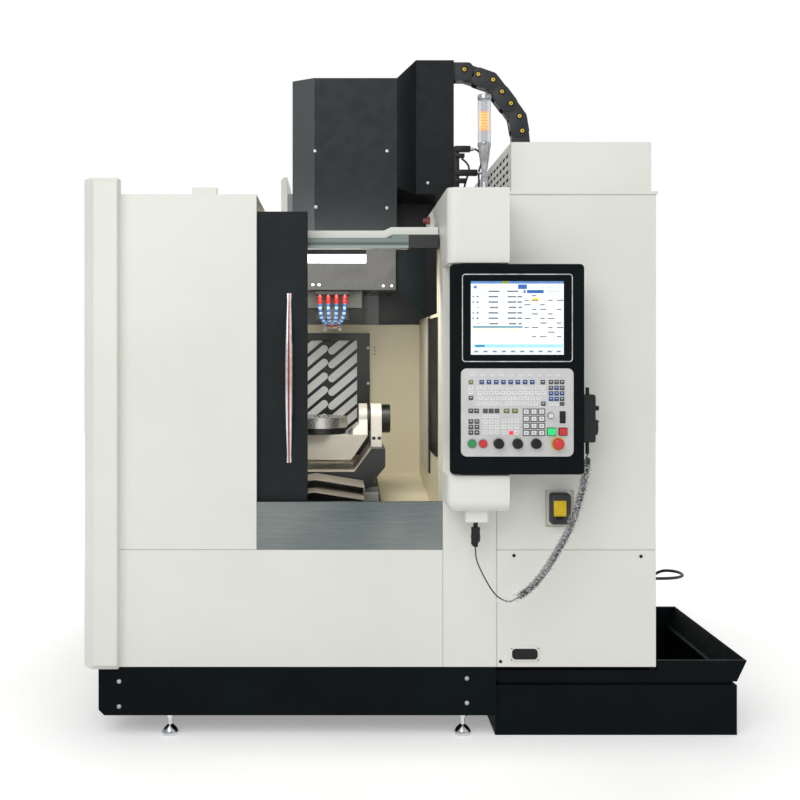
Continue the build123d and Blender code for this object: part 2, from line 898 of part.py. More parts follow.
# Roof box with rows of vent slots in its left side
x_top_box = x_cabinet + top_box_inset
z_top_box = z_top + cabinet_lip_height
with BuildPart() as cabinet_top_box:
    top_box_y = (y_front + top_box_setback, y_front + top_box_setback + top_box_depth)
    block((x_top_box, x_right), top_box_y, (z_top_box, z_top_box + top_box_height))
    vent_span_y = (vent_columns - 1) * vent_column_pitch
    vent_span_z = (vent_rows - 1) * vent_row_pitch
    vent_y = top_box_y[0] + vent_setback + vent_length / 2 + vent_span_y / 2
    vent_z = z_top_box + vent_rise + vent_span_z / 2
    vent_plane = plane_on("x", x_top_box - overrun, x_top_box + vent_depth)
    with BuildSketch(vent_plane):
        with Locations((vent_y, vent_z)):
            with GridLocations(vent_column_pitch, vent_row_pitch, vent_columns, vent_rows):
                SlotOverall(vent_length, vent_width)
    extrude(amount=overrun + vent_depth, mode=Mode.SUBTRACT)

# Coolant tank: a closed box under the cabinet and an open flared tray beside it
x_tank_box = x_tank - tank_flare
x_tray = x_right + tank_cabinet_gap
with BuildPart() as coolant_tank:
    tank_y = (y_front + tank_setback, y_front + tank_setback + tank_depth)
    z_neck = tank_box_height + tank_neck_height
    block((x_cabinet, x_tank_box), tank_y, (0, tank_box_height))
    neck_y = (tank_y[0] + tank_neck_inset, tank_y[1] - tank_neck_inset)
    neck_x = (x_cabinet + tank_neck_inset, x_tank_box - tank_neck_inset)
    block(neck_x, neck_y, (tank_box_height, z_neck))
    block((x_cabinet, x_tray), tank_y, (z_neck, z_base - tank_lid_gap))
    tray_points = [
        (x_tray, z_neck),
        (x_tank_box, z_neck),
        (x_tank, tank_rim_height),
        (x_tray, tank_rim_height),
    ]
    tray_hole = [
        (x_tray + sheet, tank_box_height - sheet - overrun),
        (x_tank_box - tank_neck_inset - sheet, tank_box_height - sheet - overrun),
        (x_tank_box - tank_neck_inset - sheet, z_neck),
        (x_tank_box - sheet, z_neck + sheet),
        (x_tank - sheet, tank_rim_height + sheet),
        (x_tray + sheet, tank_rim_height + sheet),
    ]
    tray_inside_y = (neck_y[0] + sheet, neck_y[1] - sheet)
    tank_inside_x = (x_tray + sheet, x_tank_box - sheet)
    tank_inside_y = (tank_y[0] + sheet, tank_y[1] - sheet)
    prism("y", tray_points, tank_y)
    prism("y", tray_hole, tray_inside_y, Mode.SUBTRACT)
    block(tank_inside_x, tank_inside_y, (sheet, tank_box_height - sheet), Mode.SUBTRACT)
    divider_y = tank_y[0] + tank_divider_setback
    divider_x = (x_tray + sheet, x_tank_box - sheet)
    block(divider_x, (divider_y, divider_y + sheet), (sheet, sheet + tank_divider_height))
    trough_x = (x_tray + tank_trough_width, x_tray + tank_trough_width + sheet)
    block(trough_x, (divider_y, tank_inside_y[1]), (sheet, sheet + tank_divider_height))

# Signal tower: base, neck, tapered body, clear tube and cap turned about one axis
with BuildPart() as signal_tower:
    z_tower_neck = z_top + tower_neck_height
    z_tower_tube = z_tower_neck + tower_taper_height
    z_tower_top = z_top + tower_height
    tower_x = x_column + tower_inset
    tower_y = y_front - tower_setback
    tower_profile = [
        (0, z_top),
        (tower_base_radius, z_top),
        (tower_base_radius, z_top + tower_base_height),
        (tower_neck_radius, z_top + tower_base_height),
        (tower_neck_radius, z_tower_neck),
        (tower_radius, z_tower_tube),
        (tower_radius, z_tower_top - tower_cap_height / 2),
        (tower_radius / 2, z_tower_top),
        (0, z_tower_top),
    ]
    with BuildSketch(Plane.XZ.offset(-tower_y)):
        with BuildLine():
            Polyline(*((tower_x + radius, z) for radius, z in tower_profile), close=True)
        make_face()
    revolve(axis=Axis((tower_x, tower_y, 0), (0, 0, 1)))

# Head casting: a nose over the work, an arm back to the column and a bearing housing
x_head = x_opening + head_left_inset
x_head_right = x_head + head_cover_width
y_head = y_front + head_setback
y_head_top = y_front + head_top_setback
z_nose = z_head_bottom - head_casting_drop
z_spindle = z_nose - nose_housing_height
casting_limits = (x_spindle - head_casting_half_width, x_spindle + head_casting_half_width)
with BuildPart() as spindle_head:
    z_arm = z_head_bottom + head_arm_rise
    y_head_rear = casting_y - z_rail_depth - running_gap
    head_points = [
        (y_head + sheet, z_head_bottom),
        (y_spindle - nose_housing_radius - head_slope, z_head_bottom),
        (y_spindle - nose_housing_radius, z_nose),
        (y_spindle + nose_housing_radius, z_nose),
        (y_front + head_arm_setback, z_arm),
        (y_head_rear, z_arm),
        (y_head_rear, z_head_casting),
        (y_head_top + head_fold_depth, z_head_casting),
        (y_head_top + head_fold_depth, z_head_split - sheet),
        (y_head + sheet, z_head_split - sheet),
    ]
    prism("x", head_points, casting_limits)
    rod("z", (x_spindle, y_spindle), nose_housing_radius, (z_spindle, z_nose))
    shaft_bore = (z_spindle - overrun, z_spindle + spindle_shaft_length + running_gap)
    rod("z", (x_spindle, y_spindle), spindle_shaft_radius + running_gap, shaft_bore, Mode.SUBTRACT)
    for side in (-1, 1):
        carriage_x = x_spindle + side * (casting_half_width - casting_pocket_margin / 2)
        carriage_inner = x_spindle + side * head_casting_half_width
        carriage_outer = carriage_x + side * z_rail_width / 2
        block(
            (min(carriage_inner, carriage_outer), max(carriage_inner, carriage_outer)),
            (y_front + head_arm_setback, y_head_rear),
            (z_arm, z_head_split - sheet),
        )

# Turning spindle with drive keys and a tapered tool bore
with BuildPart() as spindle_nose:
    z_flange = z_spindle - running_gap
    z_mouth = z_flange - spindle_length
    rod("z", (x_spindle, y_spindle), spindle_radius, (z_mouth, z_flange))
    rod("z", (x_spindle, y_spindle), spindle_shaft_radius, (z_flange, z_flange + spindle_shaft_length))
    for side in (-1, 1):
        key_x = x_spindle + side * (spindle_radius + taper_mouth_radius) / 2
        block(
            (key_x - drive_key_width / 2, key_x + drive_key_width / 2),
            (y_spindle - drive_key_width / 2, y_spindle + drive_key_width / 2),
            (z_mouth - drive_key_height, z_mouth),
        )
    with Locations((x_spindle, y_spindle, z_mouth + taper_depth / 2)):
        Cone(taper_mouth_radius, taper_inner_radius, taper_depth, mode=Mode.SUBTRACT)

# Lower head cover: a folded sheet round the casting, with a slanted guard on its right
with BuildPart() as head_lower_cover:
    x_lower_right = x_head + head_width
    y_cover_rear = y_front + head_arm_setback
    block((x_head, x_lower_right), (y_head, y_cover_rear), (z_head_bottom, z_head_split))
    block(
        (x_head + sheet, x_lower_right - sheet),
        (y_head + sheet, y_cover_rear + overrun),
        (z_head_bottom + sheet, z_head_split + overrun),
        Mode.SUBTRACT,
    )
    block(
        (casting_limits[0] - running_gap, casting_limits[1] + running_gap),
        (y_head + sheet, y_cover_rear + overrun),
        (z_head_bottom - overrun, z_head_bottom + sheet),
        Mode.SUBTRACT,
    )
    y_guard = y_head + side_guard_setback
    x_guard = x_lower_right + side_guard_width
    z_guard = z_head_bottom - side_guard_drop
    guard_points = [
        (x_lower_right - sheet, z_head_split),
        (x_lower_right - sheet, z_head_bottom),
        (x_lower_right, z_head_bottom),
        (x_guard, z_guard),
        (x_guard, z_head_split),
    ]
    prism("y", guard_points, (y_guard, y_guard + sheet))
    return_y = (y_guard, y_guard + side_guard_return)
    block((x_guard - sheet, x_guard), return_y, (z_guard, z_head_split))

# Upper head cover: a tall folded box with a bent strip on its left, open below and behind
z_head_top = z_head_split + head_cover_height
with BuildPart() as head_cover:
    cover_points = [
        (x_head + head_fold_width, y_head_top),
        (x_head_right, y_head_top),
        (x_head_right, y_head_top + head_cover_depth),
        (x_head, y_head_top + head_cover_depth),
        (x_head, y_head_top + head_fold_depth),
    ]
    prism("z", cover_points, (z_head_split, z_head_top))
    cover_floor = head_cover.faces().sort_by(Axis.Z)[0]
    cover_back = head_cover.faces().filter_by(Plane.XZ).sort_by(Axis.Y)[-1]
    offset(amount=-sheet, openings=[cover_floor, cover_back])

# Side cover beside the head cover: set back, taller, with a slanted joining face
x_side_cover = x_head_right + side_cover_gap
x_side_right = x_side_cover + side_cover_width
z_side_cover = z_top + side_cover_rise
z_side_top = z_side_cover + side_cover_height
with BuildPart() as head_side_cover:
    y_side_cover = y_front + side_cover_setback
    side_cover_points = [
        (x_head_right, y_head_top),
        (x_side_cover, y_side_cover),
        (x_side_right, y_side_cover),
        (x_side_right, y_head_top + head_cover_depth),
        (x_head_right, y_head_top + head_cover_depth),
    ]
    prism("z", side_cover_points, (z_side_cover, z_side_top))
    slope_points = [
        (x_head_right, z_side_top - side_cover_step),
        (x_side_cover, z_side_top),
        (x_side_cover, z_side_top + overrun),
        (x_head_right - overrun, z_side_top + overrun),
        (x_head_right - overrun, z_side_top - side_cover_step),
    ]
    prism("y", slope_points, (y_front, y_rear), Mode.SUBTRACT)

# Coolant manifold with four valves and jointed hoses that lean towards the spindle
with BuildPart() as coolant_nozzles:
    y_manifold = y_head + side_guard_setback
    z_manifold = z_head_bottom - manifold_height
    block(
        (x_spindle - manifold_width / 2, x_spindle + manifold_width / 2),
        (y_manifold, y_manifold + manifold_depth),
        (z_manifold, z_head_bottom),
    )
    for number in range(nozzle_count):
        place = number - (nozzle_count - 1) / 2
        valve_spot = (x_spindle + place * nozzle_pitch, y_manifold + manifold_depth / 2)
        z_valve = z_manifold - valve_length
        hose_top = Vector(*valve_spot, z_valve)
        tip_spot = (x_spindle + place * nozzle_tip_pitch, valve_spot[1] + nozzle_lean)
        hose_end = Vector(*tip_spot, z_valve - hose_length)
        lean = (hose_end - hose_top).normalized()
        rod("z", valve_spot, valve_radius, (z_valve, z_manifold))
        with BuildSketch(Plane(hose_top, z_dir=lean)):
            Circle(hose_radius)
        extrude(amount=(hose_end - hose_top).length)
        with Locations(Plane(hose_end, z_dir=lean)):
            Cone(hose_radius, tip_radius, tip_length, align=(Align.CENTER, Align.CENTER, Align.MIN))

# Cable chain: open links that turn from level at the head to upright on the cabinet roof
with BuildPart() as drag_chain:
    z_chain = z_side_top - chain_drop
    z_roof = z_top_box + top_box_height
    chain_angles = [math.radians(angle) for angle in chain_link_degrees]
    chain_pitch = (z_chain - z_roof) / sum(math.sin(angle) for angle in chain_angles)
    link_start = Vector(x_side_right, y_front + chain_setback, z_chain)
    for angle in chain_angles:
        link_way = Vector(math.cos(angle), 0, -math.sin(angle))
        with BuildSketch(Plane(link_start, x_dir=link_way, z_dir=(0, -1, 0))):
            with BuildLine():
                Polyline(
                    (chain_gap, 0),
                    (chain_taper, chain_height / 2),
                    (chain_pitch - chain_taper, chain_height / 2),
                    (chain_pitch - chain_gap, 0),
                    (chain_pitch - chain_taper, -chain_height / 2),
                    (chain_taper, -chain_height / 2),
                    close=True,
                )
            make_face()
        extrude(amount=chain_width / 2, both=True)
        with BuildSketch(Plane(link_start, z_dir=link_way)):
            Rectangle(chain_height - 2 * chain_wall, chain_width - 2 * chain_wall)
        extrude(amount=chain_pitch, mode=Mode.SUBTRACT)
        link_start = link_start + link_way * chain_pitch


# Outline of a gable with upright sides, moved out by step and up by lift
def gable_outline(step, lift, foot):
    half = cover_half_width + step
    return [
        (x_table - half, foot),
        (x_table - half, z_bed + cover_eave_height + lift),
        (x_table, z_bed + cover_ridge_height + lift),
        (x_table + half, z_bed + cover_eave_height + lift),
        (x_table + half, foot),
    ]


# A gabled way cover of thin sheet with upright skirts, drawn out from front to back
def gable_cover(step, lift, skirt_foot, y_span):
    inner_outline = gable_outline(step - cover_sheet, lift - cover_sheet, skirt_foot)
    prism("y", gable_outline(step, lift, skirt_foot) + inner_outline[::-1], y_span)


# Saddle on the bed's rails with two cross rails on top and a plate behind the way cover
z_saddle = z_ways + running_gap
z_saddle_top = z_saddle + saddle_height
z_table = z_saddle_top + way_rail_height + running_gap
saddle_y = (y_trunnion - saddle_half_depth, y_trunnion + saddle_half_depth)
with BuildPart() as saddle:
    saddle_x = (x_table - saddle_half_width, x_table + saddle_half_width)
    block(saddle_x, saddle_y, (z_saddle, z_saddle_top))
    for side in (-1, 1):
        cross_y = y_trunnion + side * x_rail_spread
        cross_span = (cross_y - way_rail_width / 2, cross_y + way_rail_width / 2)
        block(saddle_x, cross_span, (z_saddle_top, z_saddle_top + way_rail_height))
    plate_y = (saddle_y[0], saddle_y[0] + wiper_plate_depth)
    prism("y", gable_outline(cover_step, cover_lift, z_saddle_top), plate_y)

# Fixed front half of the way cover, standing on the bed
with BuildPart() as front_way_cover_inner:
    cover_front = y_front + cover_setback
    gable_cover(0, 0, z_bed, (cover_front, cover_front + cover_inner_length))

# Moving rear half of the way cover, which rides on the saddle over the fixed half
with BuildPart() as front_way_cover_outer:
    gable_cover(cover_step, cover_lift, z_bed + cover_step, (saddle_y[0] - cover_length, saddle_y[0]))

# Work table: a cast trough with slanted sides and a riser at each end
z_floor = z_table + table_floor_height
z_riser = z_floor + table_riser_height
z_axis = z_floor + axis_rise
table_y = (y_trunnion - table_half_depth, y_trunnion + table_half_depth)
with BuildPart() as work_table:
    riser_inner = table_half_width - table_riser_width
    right_half = [
        (table_foot_half_width, z_table),
        (table_half_width, z_table + table_slant_height),
        (table_half_width, z_riser),
        (riser_inner, z_riser),
        (table_floor_half_width, z_floor),
    ]
    left_half = [(-x, z) for x, z in reversed(right_half)]
    prism("y", [(x_table + x, z) for x, z in right_half + left_half], table_y)

# Trunnion bearings, the right end cap and the drive with its motor on the left
support_inner = arm_outer + support_gap
support_outer = support_inner + support_width
with BuildPart() as trunnion_supports:
    for side in (-1, 1):
        support_x = sorted((x_table + side * support_inner, x_table + side * support_outer))
        with BuildSketch(plane_on("x", *support_x)):
            with BuildLine():
                Polyline(
                    (y_trunnion - support_half_depth, z_riser),
                    (y_trunnion + support_half_depth, z_riser),
                    (y_trunnion + support_top_radius, z_axis),
                    (y_trunnion - support_top_radius, z_axis),
                    close=True,
                )
            make_face()
            with Locations((y_trunnion, z_axis)):
                Circle(support_top_radius)
        extrude(amount=support_width)
        rod("x", (y_trunnion, z_axis), journal_radius + running_gap, support_x, Mode.SUBTRACT)
        y_support = y_trunnion - support_half_depth
        for hole_side in (-1, 1):
            hole_x = sum(support_x) / 2 + hole_side * support_width / 4
            block(
                (hole_x - support_hole / 2, hole_x + support_hole / 2),
                (y_support - overrun, y_support + support_hole_depth),
                (z_riser + support_hole_rise, z_riser + support_hole_rise + support_hole),
                Mode.SUBTRACT,
            )
    cap_x = x_table + support_outer
    rod("x", (y_trunnion, z_axis), cap_radius, (cap_x, cap_x + cap_length))
    drive_x = (x_table - support_outer - drive_width, x_table - support_outer)
    block(
        drive_x,
        (y_trunnion - drive_depth / 2, y_trunnion + drive_depth / 2),
        (z_axis - drive_height / 2, z_axis + drive_height / 2),
    )
    rod("x", (y_trunnion, z_axis), motor_radius, (drive_x[0] - motor_length, drive_x[0]))

# Tilting cradle: a U of cast arms with slanted corners, rounded tops, two journals and a bearing ring
z_ring = z_axis - cradle_floor_drop
z_platter = z_ring + ring_height + running_gap
with BuildPart() as cradle:
    cradle_half = [
        (cradle_bottom_half_width, -cradle_drop),
        (arm_outer, -cradle_outer_slant_drop),
        (arm_outer, arm_top_radius),
        (arm_inner, arm_top_radius),
        (arm_inner, -cradle_inner_slant_drop),
        (cradle_floor_half_width, -cradle_floor_drop),
    ]
    cradle_mirror = [(-x, z) for x, z in reversed(cradle_half)]
    cradle_points = [(x_table + x, z_axis + z) for x, z in cradle_half + cradle_mirror]
    prism("y", cradle_points, (y_trunnion - cradle_half_depth, y_trunnion + cradle_half_depth))
    with BuildSketch(plane_on("x", x_table - arm_outer, x_table + arm_outer)):
        with BuildLine():
            Polyline(
                (y_trunnion - cradle_half_depth, z_axis - cradle_drop),
                (y_trunnion + cradle_half_depth, z_axis - cradle_drop),
                (y_trunnion + cradle_half_depth, z_axis - cradle_floor_drop),
                (y_trunnion + arm_top_radius, z_axis),
                (y_trunnion - arm_top_radius, z_axis),
                (y_trunnion - cradle_half_depth, z_axis - cradle_floor_drop),
                close=True,
            )
        make_face()
        with Locations((y_trunnion, z_axis)):
            Circle(arm_top_radius)
    extrude(amount=2 * arm_outer, mode=Mode.INTERSECT)
    for side in (-1, 1):
        journal_end = x_table + side * (arm_outer + support_gap + journal_length)
        journal_x = sorted((x_table + side * arm_outer, journal_end))
        rod("x", (y_trunnion, z_axis), journal_radius, journal_x)
    rod("z", (x_table, y_trunnion), ring_radius, (z_ring, z_ring + ring_height))

# Rotary platter with a centre bore, radial slots and a ring of holes
with BuildPart() as rotary_platter:
    z_platter_top = z_platter + platter_height
    rod("z", (x_table, y_trunnion), platter_radius, (z_platter, z_platter_top))
    with BuildSketch(Plane.XY.offset(z_platter)):
        with Locations((x_table, y_trunnion)):
            Circle(platter_bore_radius)
            with PolarLocations(platter_hole_circle, platter_slots, start_angle=180 / platter_slots):
                Circle(platter_hole_radius)
    extrude(amount=platter_height, mode=Mode.SUBTRACT)
    with BuildSketch(Plane.XY.offset(z_platter_top - platter_slot_depth)):
        with Locations((x_table, y_trunnion)):
            with PolarLocations(platter_radius - platter_slot_length / 2 + overrun / 2, platter_slots):
                Rectangle(platter_slot_length + overrun, platter_slot_width)
    extrude(amount=platter_slot_depth, mode=Mode.SUBTRACT)

# Sliding door leaf with a window opening, a rebate for the pane and two hangers to the rail
x_door_right = x_opening + door_lap
x_door = x_door_right - door_width
y_door = y_front + door_setback
y_door_back = y_door + door_thickness
z_door = z_sill - door_bottom_lap
z_door_top = z_top - door_top_drop
pane_x = (x_door + window_side_margin, x_door + window_side_margin + window_width)
pane_z = (z_door + window_bottom_margin, z_door + window_bottom_margin + window_height)
rebate_x = (pane_x[0] - window_lap, pane_x[1] + window_lap)
rebate_z = (pane_z[0] - window_lap, pane_z[1] + window_lap)
with BuildPart() as door_panel:
    block((x_door, x_door_right), (y_door, y_door_back), (z_door, z_door_top))
    fillet(door_panel.edges().filter_by(Axis.Z).group_by(Axis.Y)[0], door_edge_radius)
    block(pane_x, (y_door - overrun, y_door_back + overrun), pane_z, Mode.SUBTRACT)
    block(rebate_x, (y_door_back - pane_thickness, y_door_back + overrun), rebate_z, Mode.SUBTRACT)
    hanger_z = z_beam_floor - rail_height / 2
    for hanger_x in (x_door + hanger_inset, x_door_right - hanger_inset):
        block(
            (hanger_x - hanger_width / 2, hanger_x + hanger_width / 2),
            (y_door_back, rail_y[0] - running_gap),
            (hanger_z - hanger_height / 2, hanger_z + hanger_height / 2),
        )

# Window pane held in the rebate
with BuildPart() as door_window:
    block(rebate_x, (y_door_back - pane_thickness, y_door_back), rebate_z)

# Bowed door handle, thick at its two feet
with BuildPart() as door_handle:
    z_handle = z_door + handle_rise
    z_handle_top = z_handle + handle_length
    z_handle_middle = (z_handle + z_handle_top) / 2
    handle_x = (x_door_right - handle_inset - handle_width, x_door_right - handle_inset)
    with BuildSketch(plane_on("x", *handle_x)):
        with BuildLine():
            ThreePointArc(
                (y_door, z_handle), (y_door - handle_bow, z_handle_middle), (y_door, z_handle_top)
            )
            Line((y_door, z_handle_top), (y_door, z_handle_top - handle_foot))
            ThreePointArc(
                (y_door, z_handle_top - handle_foot),
                (y_door - handle_bow + handle_thickness, z_handle_middle),
                (y_door, z_handle + handle_foot),
            )
            Line((y_door, z_handle + handle_foot), (y_door, z_handle))
        make_face()
    extrude(amount=handle_width)

# Control panel housing: front plate, screen frame, back box and two hinge knuckles on the post
x_panel = x_column + panel_inset
x_panel_right = x_panel + panel_width
x_panel_middle = (x_panel + x_panel_right) / 2
z_panel = z_lower_box_top + panel_end_gap
z_panel_top = z_upper_box - panel_end_gap
z_panel_middle = (z_panel + z_panel_top) / 2
y_plate_back = y_box - panel_gap
y_plate = y_plate_back - plate_thickness
y_keypad = y_plate - keypad_thickness
y_housing_back = y_plate_back + housing_depth
z_screen = z_panel_top - bezel_top_margin - bezel_height / 2
z_keypad = z_panel + keypad_bottom_margin
x_keypad = x_panel_middle - keypad_width / 2


# A place on the keypad plate, given as shares of its width and height
def keypad_spot(width_share, height_share):
    return (x_keypad + keypad_width * width_share, z_keypad + keypad_height * height_share)


control_row_share = control_row_height / keypad_height
round_spots = [keypad_spot(share, control_row_share) for share in round_button_shares]
knob_spots = [keypad_spot(share, control_row_share) for share in knob_shares]
stop_spot = keypad_spot(stop_share, control_row_share)
flat_spots = [keypad_spot(*shares) for shares in flat_button_shares]
switch_spot = keypad_spot(*key_switch_shares)


# The wells that the push buttons travel in
def button_wells(y_span):
    for spot in round_spots:
        rod("y", spot, button_radius + control_gap, y_span, Mode.SUBTRACT)
    rod("y", stop_spot, stop_stem_radius + control_gap, y_span, Mode.SUBTRACT)
    for x, z in flat_spots:
        block(
            (x - flat_button_width / 2 - control_gap, x + flat_button_width / 2 + control_gap),
            y_span,
            (z - flat_button_height / 2 - control_gap, z + flat_button_height / 2 + control_gap),
            Mode.SUBTRACT,
        )


with BuildPart() as panel_housing:
    panel_centre = (x_panel_middle, z_panel_middle)
    panel_size = (panel_width, z_panel_top - z_panel, plate_corner)
    rounded_plate("y", panel_centre, *panel_size, (y_plate, y_plate_back))
    block(
        (x_panel + housing_margin, x_panel_right - housing_margin),
        (y_plate_back, y_housing_back),
        (z_panel + housing_margin, z_panel_top - housing_margin),
    )
    bezel_y = (y_plate - screen_thickness, y_plate)
    screen_centre = (x_panel_middle, z_screen)
    rounded_plate("y", screen_centre, bezel_width, bezel_height, bezel_corner, bezel_y)
    block(
        (x_panel_middle - screen_width / 2, x_panel_middle + screen_width / 2),
        (y_plate - screen_thickness - overrun, y_plate),
        (z_screen - screen_height / 2, z_screen + screen_height / 2),
        Mode.SUBTRACT,
    )
    button_wells((y_plate - overrun, y_plate + stop_travel + control_gap))
    knuckle_radius = swivel_post_radius + knuckle_wall
    for z_knuckle in (z_panel + knuckle_inset, z_panel_top - knuckle_inset - knuckle_height):
        knuckle_z = (z_knuckle, z_knuckle + knuckle_height)
        knuckle_x = (x_post - knuckle_radius, x_post + knuckle_radius)
        rod("z", (x_post, y_post), knuckle_radius, knuckle_z)
        block(knuckle_x, (y_housing_back, y_post), knuckle_z)
        rod("z", (x_post, y_post), swivel_post_radius + running_gap, knuckle_z, Mode.SUBTRACT)

# Screen in its frame
with BuildPart() as screen:
    block(
        (x_panel_middle - screen_width / 2, x_panel_middle + screen_width / 2),
        (y_plate - screen_thickness / 2, y_plate),
        (z_screen - screen_height / 2, z_screen + screen_height / 2),
    )

# Keypad plate with blocks of raised keys and wells for the buttons
with BuildPart() as keypad:
    keypad_centre = (x_panel_middle, z_keypad + keypad_height / 2)
    rounded_plate("y", keypad_centre, keypad_width, keypad_height, keypad_corner, (y_keypad, y_plate))
    for key_shares, (columns, rows) in zip(key_block_shares, key_block_counts):
        with BuildSketch(Plane.XZ.offset(-y_keypad)):
            with Locations(keypad_spot(*key_shares)):
                with GridLocations(key_pitch, key_pitch, columns, rows):
                    Rectangle(key_size, key_size)
        extrude(amount=key_height)
    button_wells((y_keypad - overrun, y_plate + overrun))


# A turned selector knob with a pointer ridge
def selector_knob(spot):
    knob_y = (y_keypad - knob_height, y_keypad - running_gap)
    rod("y", spot, knob_radius, knob_y)
    x, z = spot
    block(
        (x - pointer_width / 2, x + pointer_width / 2),
        (knob_y[0] - pointer_width / 2, knob_y[0]),
        (z, z + knob_radius - pointer_width / 2),
    )


# Three override knobs
with BuildPart() as spindle_override_knob:
    selector_knob(knob_spots[0])
with BuildPart() as feed_override_knob:
    selector_knob(knob_spots[1])
with BuildPart() as mode_selector_knob:
    selector_knob(knob_spots[2])

# Round push buttons
with BuildPart() as cycle_start_button:
    rod("y", round_spots[0], button_radius, (y_keypad - button_height, y_plate))
with BuildPart() as feed_hold_button:
    rod("y", round_spots[1], button_radius, (y_keypad - button_height, y_plate))


# A flat lit push button
def flat_button(spot):
    x, z = spot
    block(
        (x - flat_button_width / 2, x + flat_button_width / 2),
        (y_keypad - button_height, y_plate),
        (z - flat_button_height / 2, z + flat_button_height / 2),
    )


with BuildPart() as power_on_button:
    flat_button(flat_spots[0])
with BuildPart() as power_off_button:
    flat_button(flat_spots[1])

# Mushroom emergency stop
with BuildPart() as emergency_stop:
    y_stop = y_keypad - stop_height
    rod("y", stop_spot, stop_stem_radius, (y_stop + stop_cap_height, y_plate))
    rod("y", stop_spot, stop_radius, (y_stop, y_stop + stop_cap_height))
    fillet(emergency_stop.faces().sort_by(Axis.Y)[0].edges(), stop_cap_height / 2)

# Key switch with its key
with BuildPart() as key_switch:
    switch_y = (y_keypad - key_switch_height, y_keypad - running_gap)
    rod("y", switch_spot, key_switch_radius, switch_y)
    block(
        (switch_spot[0] - key_bow_thickness / 2, switch_spot[0] + key_bow_thickness / 2),
        (switch_y[0] - key_bow_length, switch_y[0]),
        (switch_spot[1] - key_bow_width / 2, switch_spot[1] + key_bow_width / 2),
    )

# Hand pendant: body, hook loop and cord gland
x_pendant = x_panel_right
x_pendant_face = x_pendant + pendant_width
y_pendant = y_plate + pendant_setback + pendant_depth / 2
z_pendant_top = z_panel_top - pendant_drop
z_pendant = z_pendant_top - pendant_height
with BuildPart() as pendant_body:
    pendant_centre = (y_pendant, z_pendant + pendant_height / 2)
    pendant_x = (x_pendant, x_pendant_face)
    rounded_plate("x", pendant_centre, pendant_depth, pendant_height, pendant_corner, pendant_x)
    fillet(pendant_body.faces().sort_by(Axis.X)[-1].edges(), pendant_corner / 2)
    x_pendant_middle = (x_pendant + x_pendant_face) / 2
    hook_x = (x_pendant_middle - hook_wall / 2, x_pendant_middle + hook_wall / 2)
    block(
        hook_x,
        (y_pendant - hook_depth / 2, y_pendant + hook_depth / 2),
        (z_pendant_top, z_pendant_top + hook_height),
    )
    block(
        hook_x,
        (y_pendant - hook_depth / 2 + hook_wall, y_pendant + hook_depth / 2 - hook_wall),
        (z_pendant_top, z_pendant_top + hook_height - hook_wall),
        Mode.SUBTRACT,
    )
    z_gland = z_pendant - gland_length
    rod("z", (x_pendant_middle, y_pendant), gland_radius, (z_gland, z_pendant))

# Hand wheel with its crank knob
with BuildPart() as pendant_dial:
    dial_x = (x_pendant_face + running_gap, x_pendant_face + running_gap + dial_thickness)
    z_dial = z_pendant + dial_rise
    rod("x", (y_pendant, z_dial), dial_radius, dial_x)
    crank_spot = (y_pendant, z_dial + crank_offset_share * dial_radius)
    rod("x", crank_spot, crank_radius, (dial_x[1], dial_x[1] + crank_length))

# Two small selectors above the hand wheel
selector_x = (x_pendant_face + running_gap, x_pendant_face + running_gap + selector_length)
z_selector = z_pendant + selector_rise
with BuildPart() as pendant_axis_knob:
    rod("x", (y_pendant - selector_spacing / 2, z_selector), selector_radius, selector_x)
with BuildPart() as pendant_rate_knob:
    rod("x", (y_pendant + selector_spacing / 2, z_selector), selector_radius, selector_x)

# Cord connector hanging from the socket
with BuildPart() as cord_connector:
    z_connector_neck = z_socket - connector_neck_height
    z_connector = z_connector_neck - connector_height
    rod("z", connector_spot, connector_neck_radius, (z_connector_neck, z_socket))
    rod("z", connector_spot, connector_radius, (z_connector, z_connector_neck))
    fillet(cord_connector.edges().filter_by(GeomType.CIRCLE).group_by(Axis.Z)[0], connector_neck_radius)
    z_cord_end = z_connector - connector_tail_height
    rod("z", connector_spot, connector_neck_radius, (z_cord_end, z_connector))

# Curly cord from the pendant's gland down to the straight tail
coil_route = [
    (630.5, -1031.0, 1122.0),
    (630.5, -1031.0, 1090.0),
    (624.0, -1031.0, 1046.0),
    (612.0, -1030.0, 985.0),
    (598.0, -1029.0, 920.0),
    (578.0, -1028.0, 856.0),
    (549.0, -1026.0, 798.0),
    (514.0, -1023.0, 744.0),
    (470.0, -1019.0, 684.0),
    (421.0, -1015.0, 628.0),
    (389.0, -1013.0, 596.0),
    (361.5, -1011.0, 574.0),
]
with BuildPart() as pendant_cord_coil:
    coil_volume = cord_tube(coil_route, coil_radius)
print("coil volume over section times length", pendant_cord_coil.part.volume / coil_volume)

# Straight tail of the cord up to the connector
tail_route = [
    (361.5, -1011.0, 574.0),
    (347.75, -1010.0, 563.0),
    (329.0, -1007.0, 559.0),
    (310.0, -1002.0, 566.0),
    (290.0, -996.0, 584.0),
    (270.0, -990.0, 612.0),
    (252.0, -985.0, 644.0),
    (236.0, -981.0, 676.0),
    (224.0, -978.0, 704.0),
    (217.5, -976.0, 734.0),
    (217.5, -976.0, 763.0),
]
with BuildPart() as pendant_cord_tail:
    tail_volume = cord_tube(tail_route, tail_radius)
print("tail volume over section times length", pendant_cord_tail.part.volume / tail_volume)

